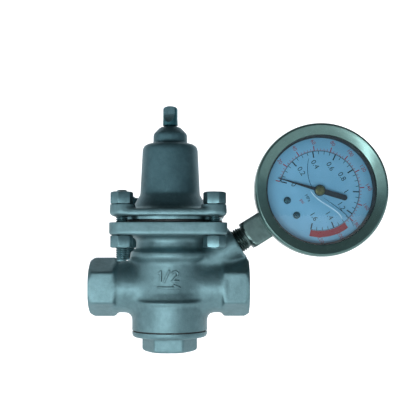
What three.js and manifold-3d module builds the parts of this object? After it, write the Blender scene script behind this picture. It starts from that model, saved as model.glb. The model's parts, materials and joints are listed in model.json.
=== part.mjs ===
// A direct-acting pressure reducing valve for half-inch pipe, with a pressure gauge on its outlet side.
// Millimetres, +Z up. The origin is where the pipe axis (X) meets the spring axis (Z).
// Water enters at -X, passes up through the seat and leaves at +X. The gauge dial faces -Y.
import * as THREE from "three";
import { mergeVertices } from "three/addons/utils/BufferGeometryUtils.js";
import Module from "manifold-3d";

const wasm = await Module();
wasm.setup();

// ---- driving dimensions ------------------------------------------------------------------------------
const FIT = 0.1; // clearance between a shaft and its hole, on the radius
const REST = 0.05; // gap between two faces that bear on each other
const PORT_END = 41; // pipe axis length from the centre to a port face
const PORT_HEX_SIDE = 15.4; // side of the port hexagon, and half its width across corners
const PORT_HEX_START = 27.6;
const NECK_R = 13.3;
const SOCKET_R = 9.3; // minor radius of the half-inch pipe thread
const SOCKET_DEPTH = 15;
const WAIST_R = 17.7;
const BARREL_R = 19.5; // lower cylinder, closed by the bottom plug
const RIDGE_R = 20.5; // ring round the body under the diaphragm bowl
const RIDGE_LOW = 15.2;
const RIDGE_TOP = 18;
const THROAT_R = 17.4; // waist between the ridge and the flange
const BODY_BOTTOM = -22;
const FLANGE_LOW = 26.4;
const FLANGE_TOP = 32.6;
const FLANGE_HALF = 29.2;
const BOLT_AT = 22.9; // studs stand at +-BOLT_AT in X and in Y
const STUD_R = 2.95;
const STUD_HOLE_R = 3.3;
const NUT_FLATS = 10;
const NUT_HEIGHT = 6.2;
const DIAPHRAGM_R = 27.4;
const DIAPHRAGM_THICK = 1.5;
const COVER_LOW = 35.8; // underside of the bonnet plate, outside its round land
const COVER_TOP = 39.6;
const PAD_TOP = 41.5; // nut seats on the bonnet
const COVER_HALF = 28.4;
const BONNET_SHOULDER = 70.6;
const BONNET_SHOULDER_R = 14.5;
const NOSE_LOW = 74.3;
const NOSE_TOP = 83.6;
const NOSE_R = 8.9;
const SPRING_ROOM_R = 11.8;
const SCREW_R = 4;
const SCREW_TOP = 94.8;
const BUTTON_LOW = 66.2;
const STEM_R = 3.9;
const STEM_THREAD_R = 2.9;
const PLUG_BOTTOM = -33;
const PLUG_HEX_FLATS = 25;
const PLUG_COLLAR_LOW = -25.6;
const PLUG_BORE_R = 10;
const GAUGE_TILT = 32; // degrees that the gauge stem rises from the pipe axis
const STEM_FACE = [34.9, 23.2]; // X and Z of the middle of the gauge boss face
const GAUGE_REACH = 49.8; // boss face to the gauge's centre
const GAUGE_STEM_R = 6.5; // quarter-inch pipe thread
const GAUGE_SQUARE = 14.6;
const BOSS_R = 8.8;
const CASE_R = 32;
const CASE_BACK = 11.5;
const CASE_FRONT = -12.6;
const BEZEL_R = 34;
const BEZEL_FRONT = -17.4;
const BEZEL_BACK = -7.8;
const WINDOW_R = 28; // radius that shows inside the bezel
const DIAL_FACE = -8.5;
const PINION_TEETH = 10;
const SECTOR_TEETH = 60; // on the full circle; only a part of them is cut
const GEAR_MODULE = 0.3;
const ROUND = 32; // facets on a large round piece
const FINE = 12; // facets on a small one

const DEG = Math.PI / 180;
const Y_AXIS = new THREE.Vector3(0, 1, 0);

// ---- materials ---------------------------------------------------------------------------------------
const finish = (color, roughness, metalness) =>
  new THREE.MeshStandardMaterial({ color, roughness, metalness });
const CAST = finish(0x6f959c, 0.42, 0.85);
const STEEL = finish(0x86a3a8, 0.3, 0.95);
const DARK_STEEL = finish(0x46585a, 0.4, 0.9);
const POLISHED = finish(0x93a8a2, 0.15, 1);
const BRASS = finish(0xa39257, 0.35, 0.9);
const RUBBER = finish(0x1d1e20, 0.8, 0);
const BLACK = finish(0x101214, 0.5, 0);
const DIAL_WHITE = finish(0xcfe4ee, 0.55, 0);
const SPRING_STEEL = finish(0x5d6a6c, 0.35, 0.95);
const GLASS = finish(0xe8f2f4, 0.05, 0);
GLASS.transparent = true;
GLASS.opacity = 0.3;

// ---- solids ------------------------------------------------------------------------------------------
// A closed three.js geometry as a manifold solid.
function solid(geometry) {
  const bare = geometry.index ? geometry.toNonIndexed() : geometry.clone();
  for (const name of Object.keys(bare.attributes)) {
    if (name !== "position") bare.deleteAttribute(name);
  }
  const merged = mergeVertices(bare, 1e-4);
  const corners = merged.index.array;
  const kept = [];
  for (let i = 0; i < corners.length; i += 3) {
    const [a, b, c] = corners.subarray(i, i + 3);
    if (a !== b && b !== c && c !== a) kept.push(a, b, c);
  }
  const vertProperties = merged.attributes.position.array;
  const triVerts = new Uint32Array(kept);
  return new wasm.Manifold(new wasm.Mesh({ numProp: 3, vertProperties, triVerts }));
}

// The solid that a profile of [radius, height] points sweeps round the Z axis. The profile runs upwards on
// its outside.
function turned(profile, facets = ROUND) {
  const points = profile.map(([r, z]) => new THREE.Vector2(Math.max(r, 0), z));
  return solid(new THREE.LatheGeometry(points, facets).rotateX(Math.PI / 2));
}

// A full cylinder from z = low to z = high, with optional chamfers at its ends.
function rod(r, low, high, facets = FINE, chamferLow = 0, chamferHigh = 0) {
  const profile = [[0, low]];
  if (chamferLow) profile.push([r - chamferLow, low], [r, low + chamferLow]);
  else profile.push([r, low]);
  if (chamferHigh) profile.push([r, high - chamferHigh], [r - chamferHigh, high]);
  else profile.push([r, high]);
  profile.push([0, high]);
  return turned(profile, facets);
}

// A ring of rectangular section.
const ring = (inner, outer, low, high, facets = ROUND) =>
  turned([[inner, low], [outer, low], [outer, high], [inner, high], [inner, low]], facets);

// A flat outline, given in X and Y, raised from z = low to z = high.
function raised(shape, low, high, curveSegments = 4) {
  const settings = { depth: high - low, bevelEnabled: false, curveSegments };
  return solid(new THREE.ExtrudeGeometry(shape, settings).translate(0, 0, low));
}

function roundedRectangle(halfX, halfY, r) {
  const shape = new THREE.Shape();
  shape.absarc(halfX - r, halfY - r, r, 0, 90 * DEG);
  shape.absarc(r - halfX, halfY - r, r, 90 * DEG, 180 * DEG);
  shape.absarc(r - halfX, r - halfY, r, 180 * DEG, 270 * DEG);
  shape.absarc(halfX - r, r - halfY, r, 270 * DEG, 360 * DEG);
  shape.closePath();
  return shape;
}

// A hexagon with corners on +-X.
function hexagon(acrossFlats) {
  const shape = new THREE.Shape();
  const corner = acrossFlats / Math.sqrt(3);
  for (let i = 0; i < 6; i++) {
    const at = [corner * Math.cos(60 * i * DEG), corner * Math.sin(60 * i * DEG)];
    if (i) shape.lineTo(...at);
    else shape.moveTo(...at);
  }
  shape.closePath();
  return shape;
}

const box = (x, y, z) =>
  solid(new THREE.BoxGeometry(x[1] - x[0], y[1] - y[0], z[1] - z[0]).translate(
    (x[0] + x[1]) / 2, (y[0] + y[1]) / 2, (z[0] + z[1]) / 2));

const joined = (...solids) => solids.reduce((all, next) => all.add(next));
const cut = (base, ...tools) => tools.reduce((left, tool) => left.subtract(tool), base);

// Turns a solid that was made along +Z so that +Z lies along a direction, and moves it.
function aimed(made, direction, at = [0, 0, 0]) {
  const turn = new THREE.Quaternion().setFromUnitVectors(
    new THREE.Vector3(0, 0, 1), new THREE.Vector3(...direction).normalize());
  const matrix = new THREE.Matrix4().compose(new THREE.Vector3(...at), turn, new THREE.Vector3(1, 1, 1));
  return made.transform(matrix.elements);
}

const meshes = new THREE.Group();

function add(name, made, material, parent = meshes) {
  const { vertProperties, triVerts, numProp } = made.getMesh();
  const positions = new Float32Array((vertProperties.length / numProp) * 3);
  for (let i = 0; i * numProp < vertProperties.length; i++) {
    positions.set(vertProperties.subarray(i * numProp, i * numProp + 3), i * 3);
  }
  const geometry = new THREE.BufferGeometry();
  geometry.setAttribute("position", new THREE.BufferAttribute(positions, 3));
  geometry.setIndex(new THREE.BufferAttribute(new Uint32Array(triVerts), 1));
  geometry.computeVertexNormals();
  const mesh = new THREE.Mesh(geometry, material);
  mesh.name = name;
  parent.add(mesh);
}

// ---- shared shapes -----------------------------------------------------------------------------------
const boltPlaces = [
  ["front_left", -BOLT_AT, -BOLT_AT],
  ["front_right", BOLT_AT, -BOLT_AT],
  ["rear_left", -BOLT_AT, BOLT_AT],
  ["rear_right", BOLT_AT, BOLT_AT],
];

// A hex nut with both ends chamfered, standing on z = low.
function nut(flats, height, holeR, low) {
  const chamfer = flats * 0.085;
  const corner = flats / Math.sqrt(3);
  const turnedBlank = turned([
    [0, low], [corner - chamfer, low], [corner + 0.05, low + chamfer * 0.6],
    [corner + 0.05, low + height - chamfer * 0.6], [corner - chamfer, low + height], [0, low + height],
  ], 12);
  const blank = raised(hexagon(flats), low, low + height).intersect(turnedBlank);
  return cut(blank, rod(holeR, low - 1, low + height + 1));
}

// A round-wire compression spring with closed, ground ends.
class SpringLine extends THREE.Curve {
  constructor(r, low, high, turns, wire) {
    super();
    Object.assign(this, { r, low, high, turns, wire });
  }
  getPoint(t, target = new THREE.Vector3()) {
    const turn = t * this.turns;
    const closed = 0.9; // turns at each end that lie on the next one
    const step = this.wire * 1.02;
    const free = this.high - this.low - 2 * closed * step;
    const rise = Math.min(turn, closed) * step + Math.max(0, turn - this.turns + closed) * step;
    const middle = Math.min(Math.max(turn - closed, 0), this.turns - 2 * closed) / (this.turns - 2 * closed);
    const angle = turn * 2 * Math.PI;
    return target.set(this.r * Math.cos(angle), this.r * Math.sin(angle), this.low + rise + middle * free);
  }
}

function coilSpring(r, wire, low, high, turns, sides, stepsPerTurn) {
  const section = new THREE.Shape();
  for (let i = 0; i < sides; i++) {
    const at = [wire / 2 * Math.cos(i / sides * 2 * Math.PI), wire / 2 * Math.sin(i / sides * 2 * Math.PI)];
    if (i) section.lineTo(...at);
    else section.moveTo(...at);
  }
  section.closePath();
  const line = new SpringLine(r, low + wire * 0.1, high - wire * 0.1, turns, wire);
  const steps = Math.round(turns * stepsPerTurn);
  const geometry = new THREE.ExtrudeGeometry(section, { steps, extrudePath: line, bevelEnabled: false });
  return solid(geometry).intersect(rod(r + wire, low, high, 12));
}

// ---- valve body --------------------------------------------------------------------------------------
const gaugeDirection = [Math.cos(GAUGE_TILT * DEG), 0, Math.sin(GAUGE_TILT * DEG)];
const alongGauge = (t) => [STEM_FACE[0] + t * gaugeDirection[0], 0, STEM_FACE[1] + t * gaugeDirection[2]];

const LOWER_ROOM = [-13, -4.6]; // height span of the inlet chamber, above the plug's bore
const UPPER_ROOM = [3, 14]; // height span of the outlet chamber
const ROOM_R = 13.2;
const DUCT_R = 6.5;
const SEAT_HOLE_R = 9;
const BOWL_ROOM_R = 17.5;
const BOWL_FLOOR = 25.5;
const PLUG_THREAD_R = 14.6;
const O_RING_ROOM = [16.5, 18.7];

// One port: neck, chamfered hexagon and pipe socket, along +X or -X.
function port(side) {
  const hex = aimed(raised(hexagon(PORT_HEX_SIDE * Math.sqrt(3)), PORT_HEX_START, PORT_END), [side, 0, 0]);
  // The end that looks along X is turned to a cone, so that the corners are cut back.
  const cone = aimed(turned([
    [0, PORT_HEX_START], [PORT_HEX_SIDE - 0.7, PORT_HEX_START], [PORT_HEX_SIDE + 0.1, PORT_HEX_START + 1],
    [PORT_HEX_SIDE + 0.1, PORT_END - 2.2], [PORT_HEX_SIDE - 1.9, PORT_END], [0, PORT_END],
  ], 24), [side, 0, 0]);
  const neck = aimed(rod(NECK_R, 10, PORT_HEX_START + 1, 24), [side, 0, 0]);
  return joined(hex.intersect(cone), neck);
}

function portSocket(side) {
  const innerEnd = PORT_END - SOCKET_DEPTH;
  return aimed(turned([
    [0, innerEnd - 1], [6, innerEnd - 1], [SOCKET_R - 0.6, innerEnd], [SOCKET_R, innerEnd + 0.6],
    [SOCKET_R, PORT_END - 1.6], [SOCKET_R + 1.6, PORT_END], [SOCKET_R + 1.6, PORT_END + 1],
    [0, PORT_END + 1],
  ], 24), [side, 0, 0]);
}

// A slanting passage from a port socket to the chamber on its side of the seat.
function duct(side, outer, inner) {
  const start = new THREE.Vector3(side * (PORT_END - SOCKET_DEPTH + 1), 0, outer);
  const end = new THREE.Vector3(side * 6, 0, inner);
  const run = end.clone().sub(start);
  return aimed(rod(DUCT_R, 0, run.length(), 16), run.toArray(), start.toArray());
}

function bodyCasting() {
  const barrel = turned([
    [0, BODY_BOTTOM], [BARREL_R - 0.5, BODY_BOTTOM], [BARREL_R, BODY_BOTTOM + 0.5], [BARREL_R, -7.6],
    [WAIST_R, -5.8], [WAIST_R, 12.8], [RIDGE_R - 0.3, RIDGE_LOW], [RIDGE_R, RIDGE_LOW + 0.8],
    [RIDGE_R, RIDGE_TOP - 0.6], [RIDGE_R - 0.6, RIDGE_TOP], [THROAT_R + 0.8, RIDGE_TOP + 1.6],
    [THROAT_R, RIDGE_TOP + 3.6], [THROAT_R + 0.4, FLANGE_LOW - 1.4], [THROAT_R + 2, FLANGE_LOW + 0.6],
    [0, FLANGE_LOW + 0.6],
  ]);
  const flange = raised(roundedRectangle(FLANGE_HALF, FLANGE_HALF, 7), FLANGE_LOW, FLANGE_TOP);
  const boss = aimed(rod(BOSS_R, -30, 0, 24, 0, 0.8), gaugeDirection, alongGauge(0));
  return joined(barrel, flange, boss, port(-1), port(1));
}

function body() {
  const rooms = joined(
    rod(PLUG_THREAD_R, BODY_BOTTOM - 1, LOWER_ROOM[0], 28),
    rod(ROOM_R, LOWER_ROOM[0] - 1, LOWER_ROOM[1], 28),
    rod(ROOM_R, UPPER_ROOM[0], UPPER_ROOM[1], 28),
    rod(SEAT_HOLE_R, LOWER_ROOM[1] - 1, UPPER_ROOM[0] + 1, 24),
    duct(-1, -1, -10),
    duct(1, 1, 8.6),
  );
  const stemGuide = joined(
    rod(STEM_R + FIT, UPPER_ROOM[1] - 1, BOWL_FLOOR + 1, 20),
    rod(6.1, ...O_RING_ROOM, 20),
  );
  const bowlRoom = turned([
    [0, BOWL_FLOOR], [BOWL_ROOM_R - 2, BOWL_FLOOR], [BOWL_ROOM_R, BOWL_FLOOR + 1.6],
    [BOWL_ROOM_R, FLANGE_TOP + 1], [0, FLANGE_TOP + 1],
  ], 28);
  const sensingHole = rod(1.4, UPPER_ROOM[1] - 2, BOWL_FLOOR + 1, 10).translate(9.5, 0, 0);
  const gaugeTap = aimed(joined(
    rod(GAUGE_STEM_R + FIT, -11, 1, 24), rod(2, -26, -10, 8),
  ), gaugeDirection, alongGauge(0));
  const studHoles = boltPlaces.map(([, x, y]) =>
    rod(STUD_HOLE_R, FLANGE_LOW - 1, FLANGE_TOP + 1).translate(x, y, 0));
  return cut(bodyCasting(), rooms, stemGuide, bowlRoom, sensingHole, gaugeTap,
    portSocket(-1), portSocket(1), ...studHoles);
}

add("body", body(), CAST);

// ---- bottom plug -------------------------------------------------------------------------------------
const COLLAR_TOP = BODY_BOTTOM - 0.75;
const SPIGOT_TOP = -15.4;
const PLUG_FLOOR = -29.4;

function bottomPlug() {
  const turnedPart = turned([
    [0, PLUG_COLLAR_LOW], [BARREL_R - 1.6, PLUG_COLLAR_LOW], [BARREL_R - 0.1, PLUG_COLLAR_LOW + 1.5],
    [BARREL_R - 0.1, COLLAR_TOP - 0.3], [BARREL_R - 0.4, COLLAR_TOP], [PLUG_THREAD_R - 0.9, COLLAR_TOP],
    [PLUG_THREAD_R - 0.9, COLLAR_TOP + 1.6], [PLUG_THREAD_R - FIT, COLLAR_TOP + 2.2],
    [PLUG_THREAD_R - FIT, SPIGOT_TOP - 0.8], [PLUG_THREAD_R - 0.9, SPIGOT_TOP], [0, SPIGOT_TOP],
  ], 28);
  const corner = PLUG_HEX_FLATS / Math.sqrt(3);
  const hexBlank = turned([
    [0, PLUG_BOTTOM], [corner - 1.4, PLUG_BOTTOM], [corner + 0.1, PLUG_BOTTOM + 0.9],
    [corner + 0.1, PLUG_COLLAR_LOW + 0.5], [0, PLUG_COLLAR_LOW + 0.5],
  ]);
  const hex = raised(hexagon(PLUG_HEX_FLATS), PLUG_BOTTOM, PLUG_COLLAR_LOW + 0.5).intersect(hexBlank);
  return cut(joined(turnedPart, hex), rod(PLUG_BORE_R, PLUG_FLOOR, SPIGOT_TOP + 1, 24));
}

add("bottom_plug", bottomPlug(), CAST);
const GASKET_SPAN = [COLLAR_TOP + REST, BODY_BOTTOM - REST];
add("plug_gasket", ring(PLUG_THREAD_R + 0.3, BARREL_R - 0.7, ...GASKET_SPAN, 28), RUBBER);

// ---- seat, stem and disc -----------------------------------------------------------------------------
const SEAT_EDGE = -8;
const CLOSED_GAP = 0.1; // the disc seal stands this far from the seat edge

add("seat_ring", turned([
  [5.8, SEAT_EDGE], [6.7, SEAT_EDGE], [7.2, LOWER_ROOM[1] - 2], [11, LOWER_ROOM[1] - 2],
  [11, LOWER_ROOM[1] - REST], [SEAT_HOLE_R - FIT, LOWER_ROOM[1] - REST],
  [SEAT_HOLE_R - FIT, UPPER_ROOM[0] - 0.4], [SEAT_HOLE_R - 0.5, UPPER_ROOM[0]], [5.8, UPPER_ROOM[0]],
  [5.8, SEAT_EDGE],
], 24), STEEL);

const DISC_TOP = SEAT_EDGE - CLOSED_GAP;
const DISC_LOW = DISC_TOP - 6.2;
const SEAL_THICK = 2.4;
add("disc_seal", ring(STEM_THREAD_R + 1.7, 8.2, DISC_TOP - SEAL_THICK + REST, DISC_TOP, 24), RUBBER);
add("valve_disc", turned([
  [STEM_THREAD_R + FIT, DISC_LOW], [8.6, DISC_LOW], [9.4, DISC_LOW + 0.8], [9.4, DISC_TOP - 0.8],
  [8.3, DISC_TOP - 0.8], [8.3, DISC_TOP - SEAL_THICK], [STEM_THREAD_R + 1.6, DISC_TOP - SEAL_THICK],
  [STEM_THREAD_R + 1.6, DISC_TOP - 0.4], [STEM_THREAD_R + FIT, DISC_TOP - 0.4],
  [STEM_THREAD_R + FIT, DISC_LOW],
], 20), STEEL);
add("disc_nut", nut(8, 3.6, STEM_THREAD_R + FIT, DISC_LOW - 3.6 - REST), STEEL);

const PLATE_THICK = 2;
const DIAPHRAGM_LOW = FLANGE_TOP + REST;
const DIAPHRAGM_HIGH = DIAPHRAGM_LOW + DIAPHRAGM_THICK;
const LOW_PLATE = [DIAPHRAGM_LOW - PLATE_THICK - REST, DIAPHRAGM_LOW - REST];
const TOP_PLATE = [DIAPHRAGM_HIGH + REST, DIAPHRAGM_HIGH + REST + 2.4];
const TOP_NUT_LOW = TOP_PLATE[1] + REST;
const TOP_NUT_HEIGHT = 4.6;
const stemShoulder = LOW_PLATE[0] - REST;
const stemTop = TOP_NUT_LOW + TOP_NUT_HEIGHT + 1.4;
add("stem", turned([
  [0, DISC_LOW - 4.6], [STEM_THREAD_R - 0.6, DISC_LOW - 4.6], [STEM_THREAD_R, DISC_LOW - 4],
  [STEM_THREAD_R, DISC_TOP - 0.3], [STEM_R, DISC_TOP - 0.3], [STEM_R, stemShoulder - 1.5],
  [5.6, stemShoulder - 1.5], [5.6, stemShoulder], [STEM_THREAD_R, stemShoulder],
  [STEM_THREAD_R, stemTop - 0.6], [STEM_THREAD_R - 0.6, stemTop], [0, stemTop],
], 16), STEEL);

const O_RING_WIRE = 0.95;
function torus(r, wire, z) {
  const sides = 8;
  const profile = [];
  for (let i = 0; i <= sides; i++) {
    const angle = (i % sides) / sides * 2 * Math.PI;
    profile.push([r + wire * Math.cos(angle), z + wire * Math.sin(angle)]);
  }
  return turned(profile, 14);
}
const O_RING_Z = (O_RING_ROOM[0] + O_RING_ROOM[1]) / 2;
add("stem_o_ring", torus(STEM_R + O_RING_WIRE + 0.08, O_RING_WIRE, O_RING_Z), RUBBER);

add("diaphragm", ring(STEM_THREAD_R + FIT, DIAPHRAGM_R, DIAPHRAGM_LOW, DIAPHRAGM_HIGH), RUBBER);
add("diaphragm_lower_plate", ring(STEM_THREAD_R + FIT, 15.6, ...LOW_PLATE, 24), STEEL);
add("diaphragm_upper_plate", turned([
  [STEM_THREAD_R + FIT, TOP_PLATE[0]], [15.2, TOP_PLATE[0]], [15.2, TOP_PLATE[1]],
  [14.2, TOP_PLATE[1] + 0.8], [13.2, TOP_PLATE[1] + 0.8], [12.2, TOP_PLATE[1]],
  [STEM_THREAD_R + FIT, TOP_PLATE[1]],
  [STEM_THREAD_R + FIT, TOP_PLATE[0]],
], 24), STEEL);
add("diaphragm_nut", nut(10, TOP_NUT_HEIGHT, STEM_THREAD_R + FIT, TOP_NUT_LOW), STEEL);

// ---- bonnet, regulating spring and adjusting screw ---------------------------------------------------
const LAND_LOW = DIAPHRAGM_HIGH + REST;
const PAD_R = 6.2;
const PAD_AT = 22.56; // the pads stand a little closer in than the studs
const ROOM_TOP = 70.4; // ceiling of the spring room

function bonnet() {
  const shoulder = [];
  const shoulderSteps = 4;
  for (let i = 0; i <= shoulderSteps; i++) {
    const angle = i / shoulderSteps * 90 * DEG;
    const r = NOSE_R + (BONNET_SHOULDER_R - NOSE_R) * Math.cos(angle);
    shoulder.push([r, BONNET_SHOULDER + (NOSE_LOW - BONNET_SHOULDER) * Math.sin(angle)]);
  }
  const nose = [];
  const noseSteps = 4;
  const noseEdge = 79.6; // height where the nose starts to round over
  const noseTopR = SCREW_R + 0.7;
  for (let i = 0; i <= noseSteps; i++) {
    const angle = i / noseSteps * 90 * DEG;
    const r = noseTopR + (NOSE_R - noseTopR) * Math.cos(angle);
    nose.push([r, noseEdge + (NOSE_TOP - noseEdge) * Math.sin(angle)]);
  }
  const outside = turned([
    [0, LAND_LOW], [DIAPHRAGM_R, LAND_LOW], [DIAPHRAGM_R, COVER_LOW + 0.5], [20.6, COVER_LOW + 0.5],
    [20.6, COVER_TOP], [18.3, 43], [15.8, 47.4], [15.55, 49], ...shoulder, ...nose, [0, NOSE_TOP],
  ]);
  const plate = raised(roundedRectangle(COVER_HALF, COVER_HALF, 6.6), COVER_LOW, COVER_TOP);
  const pads = boltPlaces.map(([, x, y]) =>
    rod(PAD_R, COVER_TOP - 1, PAD_TOP, 16).translate(Math.sign(x) * PAD_AT, Math.sign(y) * PAD_AT, 0));
  const springRoom = turned([
    [0, LAND_LOW - 1], [BOWL_ROOM_R, LAND_LOW - 1], [BOWL_ROOM_R, 39.4], [SPRING_ROOM_R, 46],
    [SPRING_ROOM_R, ROOM_TOP - 1.2], [SPRING_ROOM_R - 1.6, ROOM_TOP], [0, ROOM_TOP],
  ], 24);
  const screwHole = rod(SCREW_R + FIT, ROOM_TOP - 1, NOSE_TOP + 1, 24);
  const studHoles = boltPlaces.map(([, x, y]) =>
    rod(STUD_HOLE_R, COVER_LOW - 1, PAD_TOP + 1).translate(x, y, 0));
  const vent = aimed(rod(1, 0, 10, 8), [0, 1, 0], [0, 9, 56]);
  return cut(joined(outside, plate, ...pads), springRoom, screwHole, vent, ...studHoles);
}
add("bonnet", bonnet(), CAST);

add("spring_button", turned([
  [0, BUTTON_LOW - 2], [6.4, BUTTON_LOW - 2], [6.8, BUTTON_LOW], [11.2, BUTTON_LOW],
  [11.2, BUTTON_LOW + 2.4], [9.6, BUTTON_LOW + 3.6], [3.4, BUTTON_LOW + 3.6], [0, BUTTON_LOW + 1.7],
], 20), STEEL);
const SPRING_LOW = TOP_PLATE[1] + REST;
add("regulating_spring", coilSpring(9.1, 2.6, SPRING_LOW, BUTTON_LOW - REST, 7, 6, 12), SPRING_STEEL);
add("return_spring", coilSpring(7.8, 1.4, PLUG_FLOOR + REST, DISC_LOW - REST, 4.6, 5, 10), SPRING_STEEL);

function adjustingScrew() {
  const tip = BUTTON_LOW + 1.9;
  const threadTop = 87.2;
  const shank = turned([
    [0, tip], [3, tip + 1.7], [SCREW_R - 0.5, tip + 2.6], [SCREW_R, tip + 3.2], [SCREW_R, threadTop],
    [SCREW_R - 0.35, threadTop + 0.4], [SCREW_R - 0.35, SCREW_TOP - 2], [SCREW_R - 1.1, SCREW_TOP - 0.7],
    [SCREW_R - 2.4, SCREW_TOP - 0.1], [0, SCREW_TOP],
  ], 18);
  const tangHalf = 2.5; // half the width over the two flats of the tang
  const flatTurn = -12; // degrees that the flats are turned from square to the pipe
  const flats = [[-6, -tangHalf], [tangHalf, 6]].map((y) =>
    box([-5, 5], y, [threadTop + 0.2, SCREW_TOP + 1]).rotate([0, 0, flatTurn]));
  return cut(shank, ...flats);
}
add("adjusting_screw", adjustingScrew(), STEEL);

// ---- studs and nuts ----------------------------------------------------------------------------------
const LOWER_NUT_LOW = FLANGE_LOW - NUT_HEIGHT - REST;
const UPPER_NUT_LOW = PAD_TOP + REST;
for (const [place, x, y] of boltPlaces) {
  const inletSide = x < 0;
  const low = inletSide ? LOWER_NUT_LOW - 6.6 : LOWER_NUT_LOW - 0.3;
  const high = UPPER_NUT_LOW + NUT_HEIGHT + (inletSide ? 0.9 : 0.2);
  const nutTurn = inletSide ? 18 : -9; // degrees
  add("stud_" + place, rod(STUD_R, low, high, FINE, 0.6, 0.6).translate(x, y, 0), STEEL);
  for (const [level, nutLow] of [["upper", UPPER_NUT_LOW], ["lower", LOWER_NUT_LOW]]) {
    const made = nut(NUT_FLATS, NUT_HEIGHT, STUD_R + FIT, nutLow).rotate([0, 0, nutTurn]).translate(x, y, 0);
    add(level + "_nut_" + place, made, STEEL);
  }
}

// ---- pressure gauge ----------------------------------------------------------------------------------
// The gauge stands in its own group: X across the dial, Z up from the stem, and the dial faces -Y.
const gauge = new THREE.Group();
const [centreX, , centreZ] = alongGauge(GAUGE_REACH);
gauge.position.set(centreX, 0, centreZ);
gauge.setRotationFromAxisAngle(Y_AXIS, (90 - GAUGE_TILT) * DEG);
meshes.add(gauge);

const addToGauge = (name, made, material) => add(name, made, material, gauge);
// Turned pieces of the gauge are made round Z and laid along Y, so that profile heights read from the front
// backwards.
const facing = (made) => aimed(made, [0, 1, 0]);
const disc = (r, front, back, x = 0, z = 0, facets = FINE) =>
  facing(rod(r, front, back, facets)).translate(x, 0, z);
// An outline in X and Z, from y = front to y = back. The outline is drawn as it is seen from the front.
const plate = (shape, front, back) => raised(shape, -back, -front).rotate([90, 0, 0]);

const SQUARE_END = -(GAUGE_REACH - 5.6); // where the wrench square starts, next to the thread
const BLOCK_TOP = -19.6;
const STEP_Z = -25;
const STEP_Y = 1.6;

function gaugeSocket() {
  const half = GAUGE_SQUARE / 2;
  const thread = rod(GAUGE_STEM_R, -GAUGE_REACH - 10.4, SQUARE_END + 0.5, 24, 0.9, 0);
  const square = box([-half, half], [-half, half], [SQUARE_END, BLOCK_TOP])
    .intersect(rod(half * 1.37, SQUARE_END, BLOCK_TOP, 24, 2.6, 0));
  const step = box([-9, 9], [-9, STEP_Y], [STEP_Z, 0]);
  const dialScrewSide = box([-9, 9], [-9, -3], [-CASE_R + 2.5, 0]);
  return cut(joined(thread, square), step, dialScrewSide, rod(1.6, -70, -30, 8));
}
addToGauge("gauge_socket", gaugeSocket(), DARK_STEEL);

const WALL = 1;
function gaugeCase() {
  const shell = facing(turned([
    [0, CASE_BACK - WALL], [CASE_R - WALL - 1.4, CASE_BACK - WALL], [CASE_R - WALL, CASE_BACK - WALL - 1.4],
    [CASE_R - WALL, CASE_FRONT], [CASE_R, CASE_FRONT], [CASE_R, CASE_BACK - 2.4], [CASE_R - 2.4, CASE_BACK],
    [0, CASE_BACK],
  ]));
  const half = GAUGE_SQUARE / 2 + 0.25;
  const stemHole = box([-half, half], [-half, half], [-CASE_R - 2, -CASE_R + 6]);
  const fillHole = rod(3.1, CASE_R - 4, CASE_R + 2, 16).translate(0, 2, 0);
  return cut(shell, stemHole, fillHole);
}
addToGauge("gauge_case", gaugeCase(), STEEL);
addToGauge("fill_plug", joined(rod(2.9, 29.4, 32.6, 14), rod(4.3, CASE_R + 0.25, CASE_R + 1.6, 16, 0, 0.5))
  .translate(0, 2, 0), RUBBER);

addToGauge("gauge_bezel", facing(turned([
  [CASE_R + 0.3, BEZEL_BACK], [CASE_R + 0.3, -14.9], [WINDOW_R, -14.9], [WINDOW_R + 2.6, -16.9],
  [WINDOW_R + 4, BEZEL_FRONT], [BEZEL_R - 0.7, BEZEL_FRONT + 0.3], [BEZEL_R, BEZEL_FRONT + 1.8],
  [BEZEL_R, BEZEL_BACK - 0.6], [BEZEL_R - 0.6, BEZEL_BACK], [CASE_R + 0.3, BEZEL_BACK],
])), POLISHED);
const GLASS_FRONT = -14.75;
const GLASS_BACK = -12.75;
addToGauge("gauge_window", facing(turned([
  [0, GLASS_FRONT], [CASE_R, GLASS_FRONT], [CASE_R, GLASS_BACK], [0, GLASS_BACK],
])), GLASS);
const SEAL_SPAN = [GLASS_BACK + 0.1, DIAL_FACE - 0.6];
addToGauge("window_seal", facing(ring(28.6, CASE_R - WALL - 0.2, ...SEAL_SPAN)), RUBBER);

// ---- dial and pointer --------------------------------------------------------------------------------
const DIAL_THICK = 0.6;
const DIAL_BACK = DIAL_FACE + DIAL_THICK;
const DIAL_SCREWS = [[-4.5, -16.8], [4.5, -16.8]];
const ZERO_ANGLE = 225; // degrees counter-clockwise from +X, seen from the front
const at = (r, angle) => [r * Math.cos(angle * DEG), r * Math.sin(angle * DEG)];
const POINTER_ANGLE = 221.5; // where the pointer stands without pressure, a little past the 0 mark
const STOP_PIN = at(20.8, ZERO_ANGLE - 1);

addToGauge("gauge_dial", cut(
  disc(CASE_R - WALL - 0.4, DIAL_FACE, DIAL_BACK, 0, 0, ROUND),
  disc(1.7, DIAL_FACE - 1, DIAL_BACK + 1, 0, 0, 16),
  disc(0.55, DIAL_FACE - 1, DIAL_BACK + 1, ...STOP_PIN, 8),
  ...DIAL_SCREWS.map(([x, z]) => disc(1.1, DIAL_FACE - 1, DIAL_BACK + 1, x, z, 12)),
), DIAL_WHITE);

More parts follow.
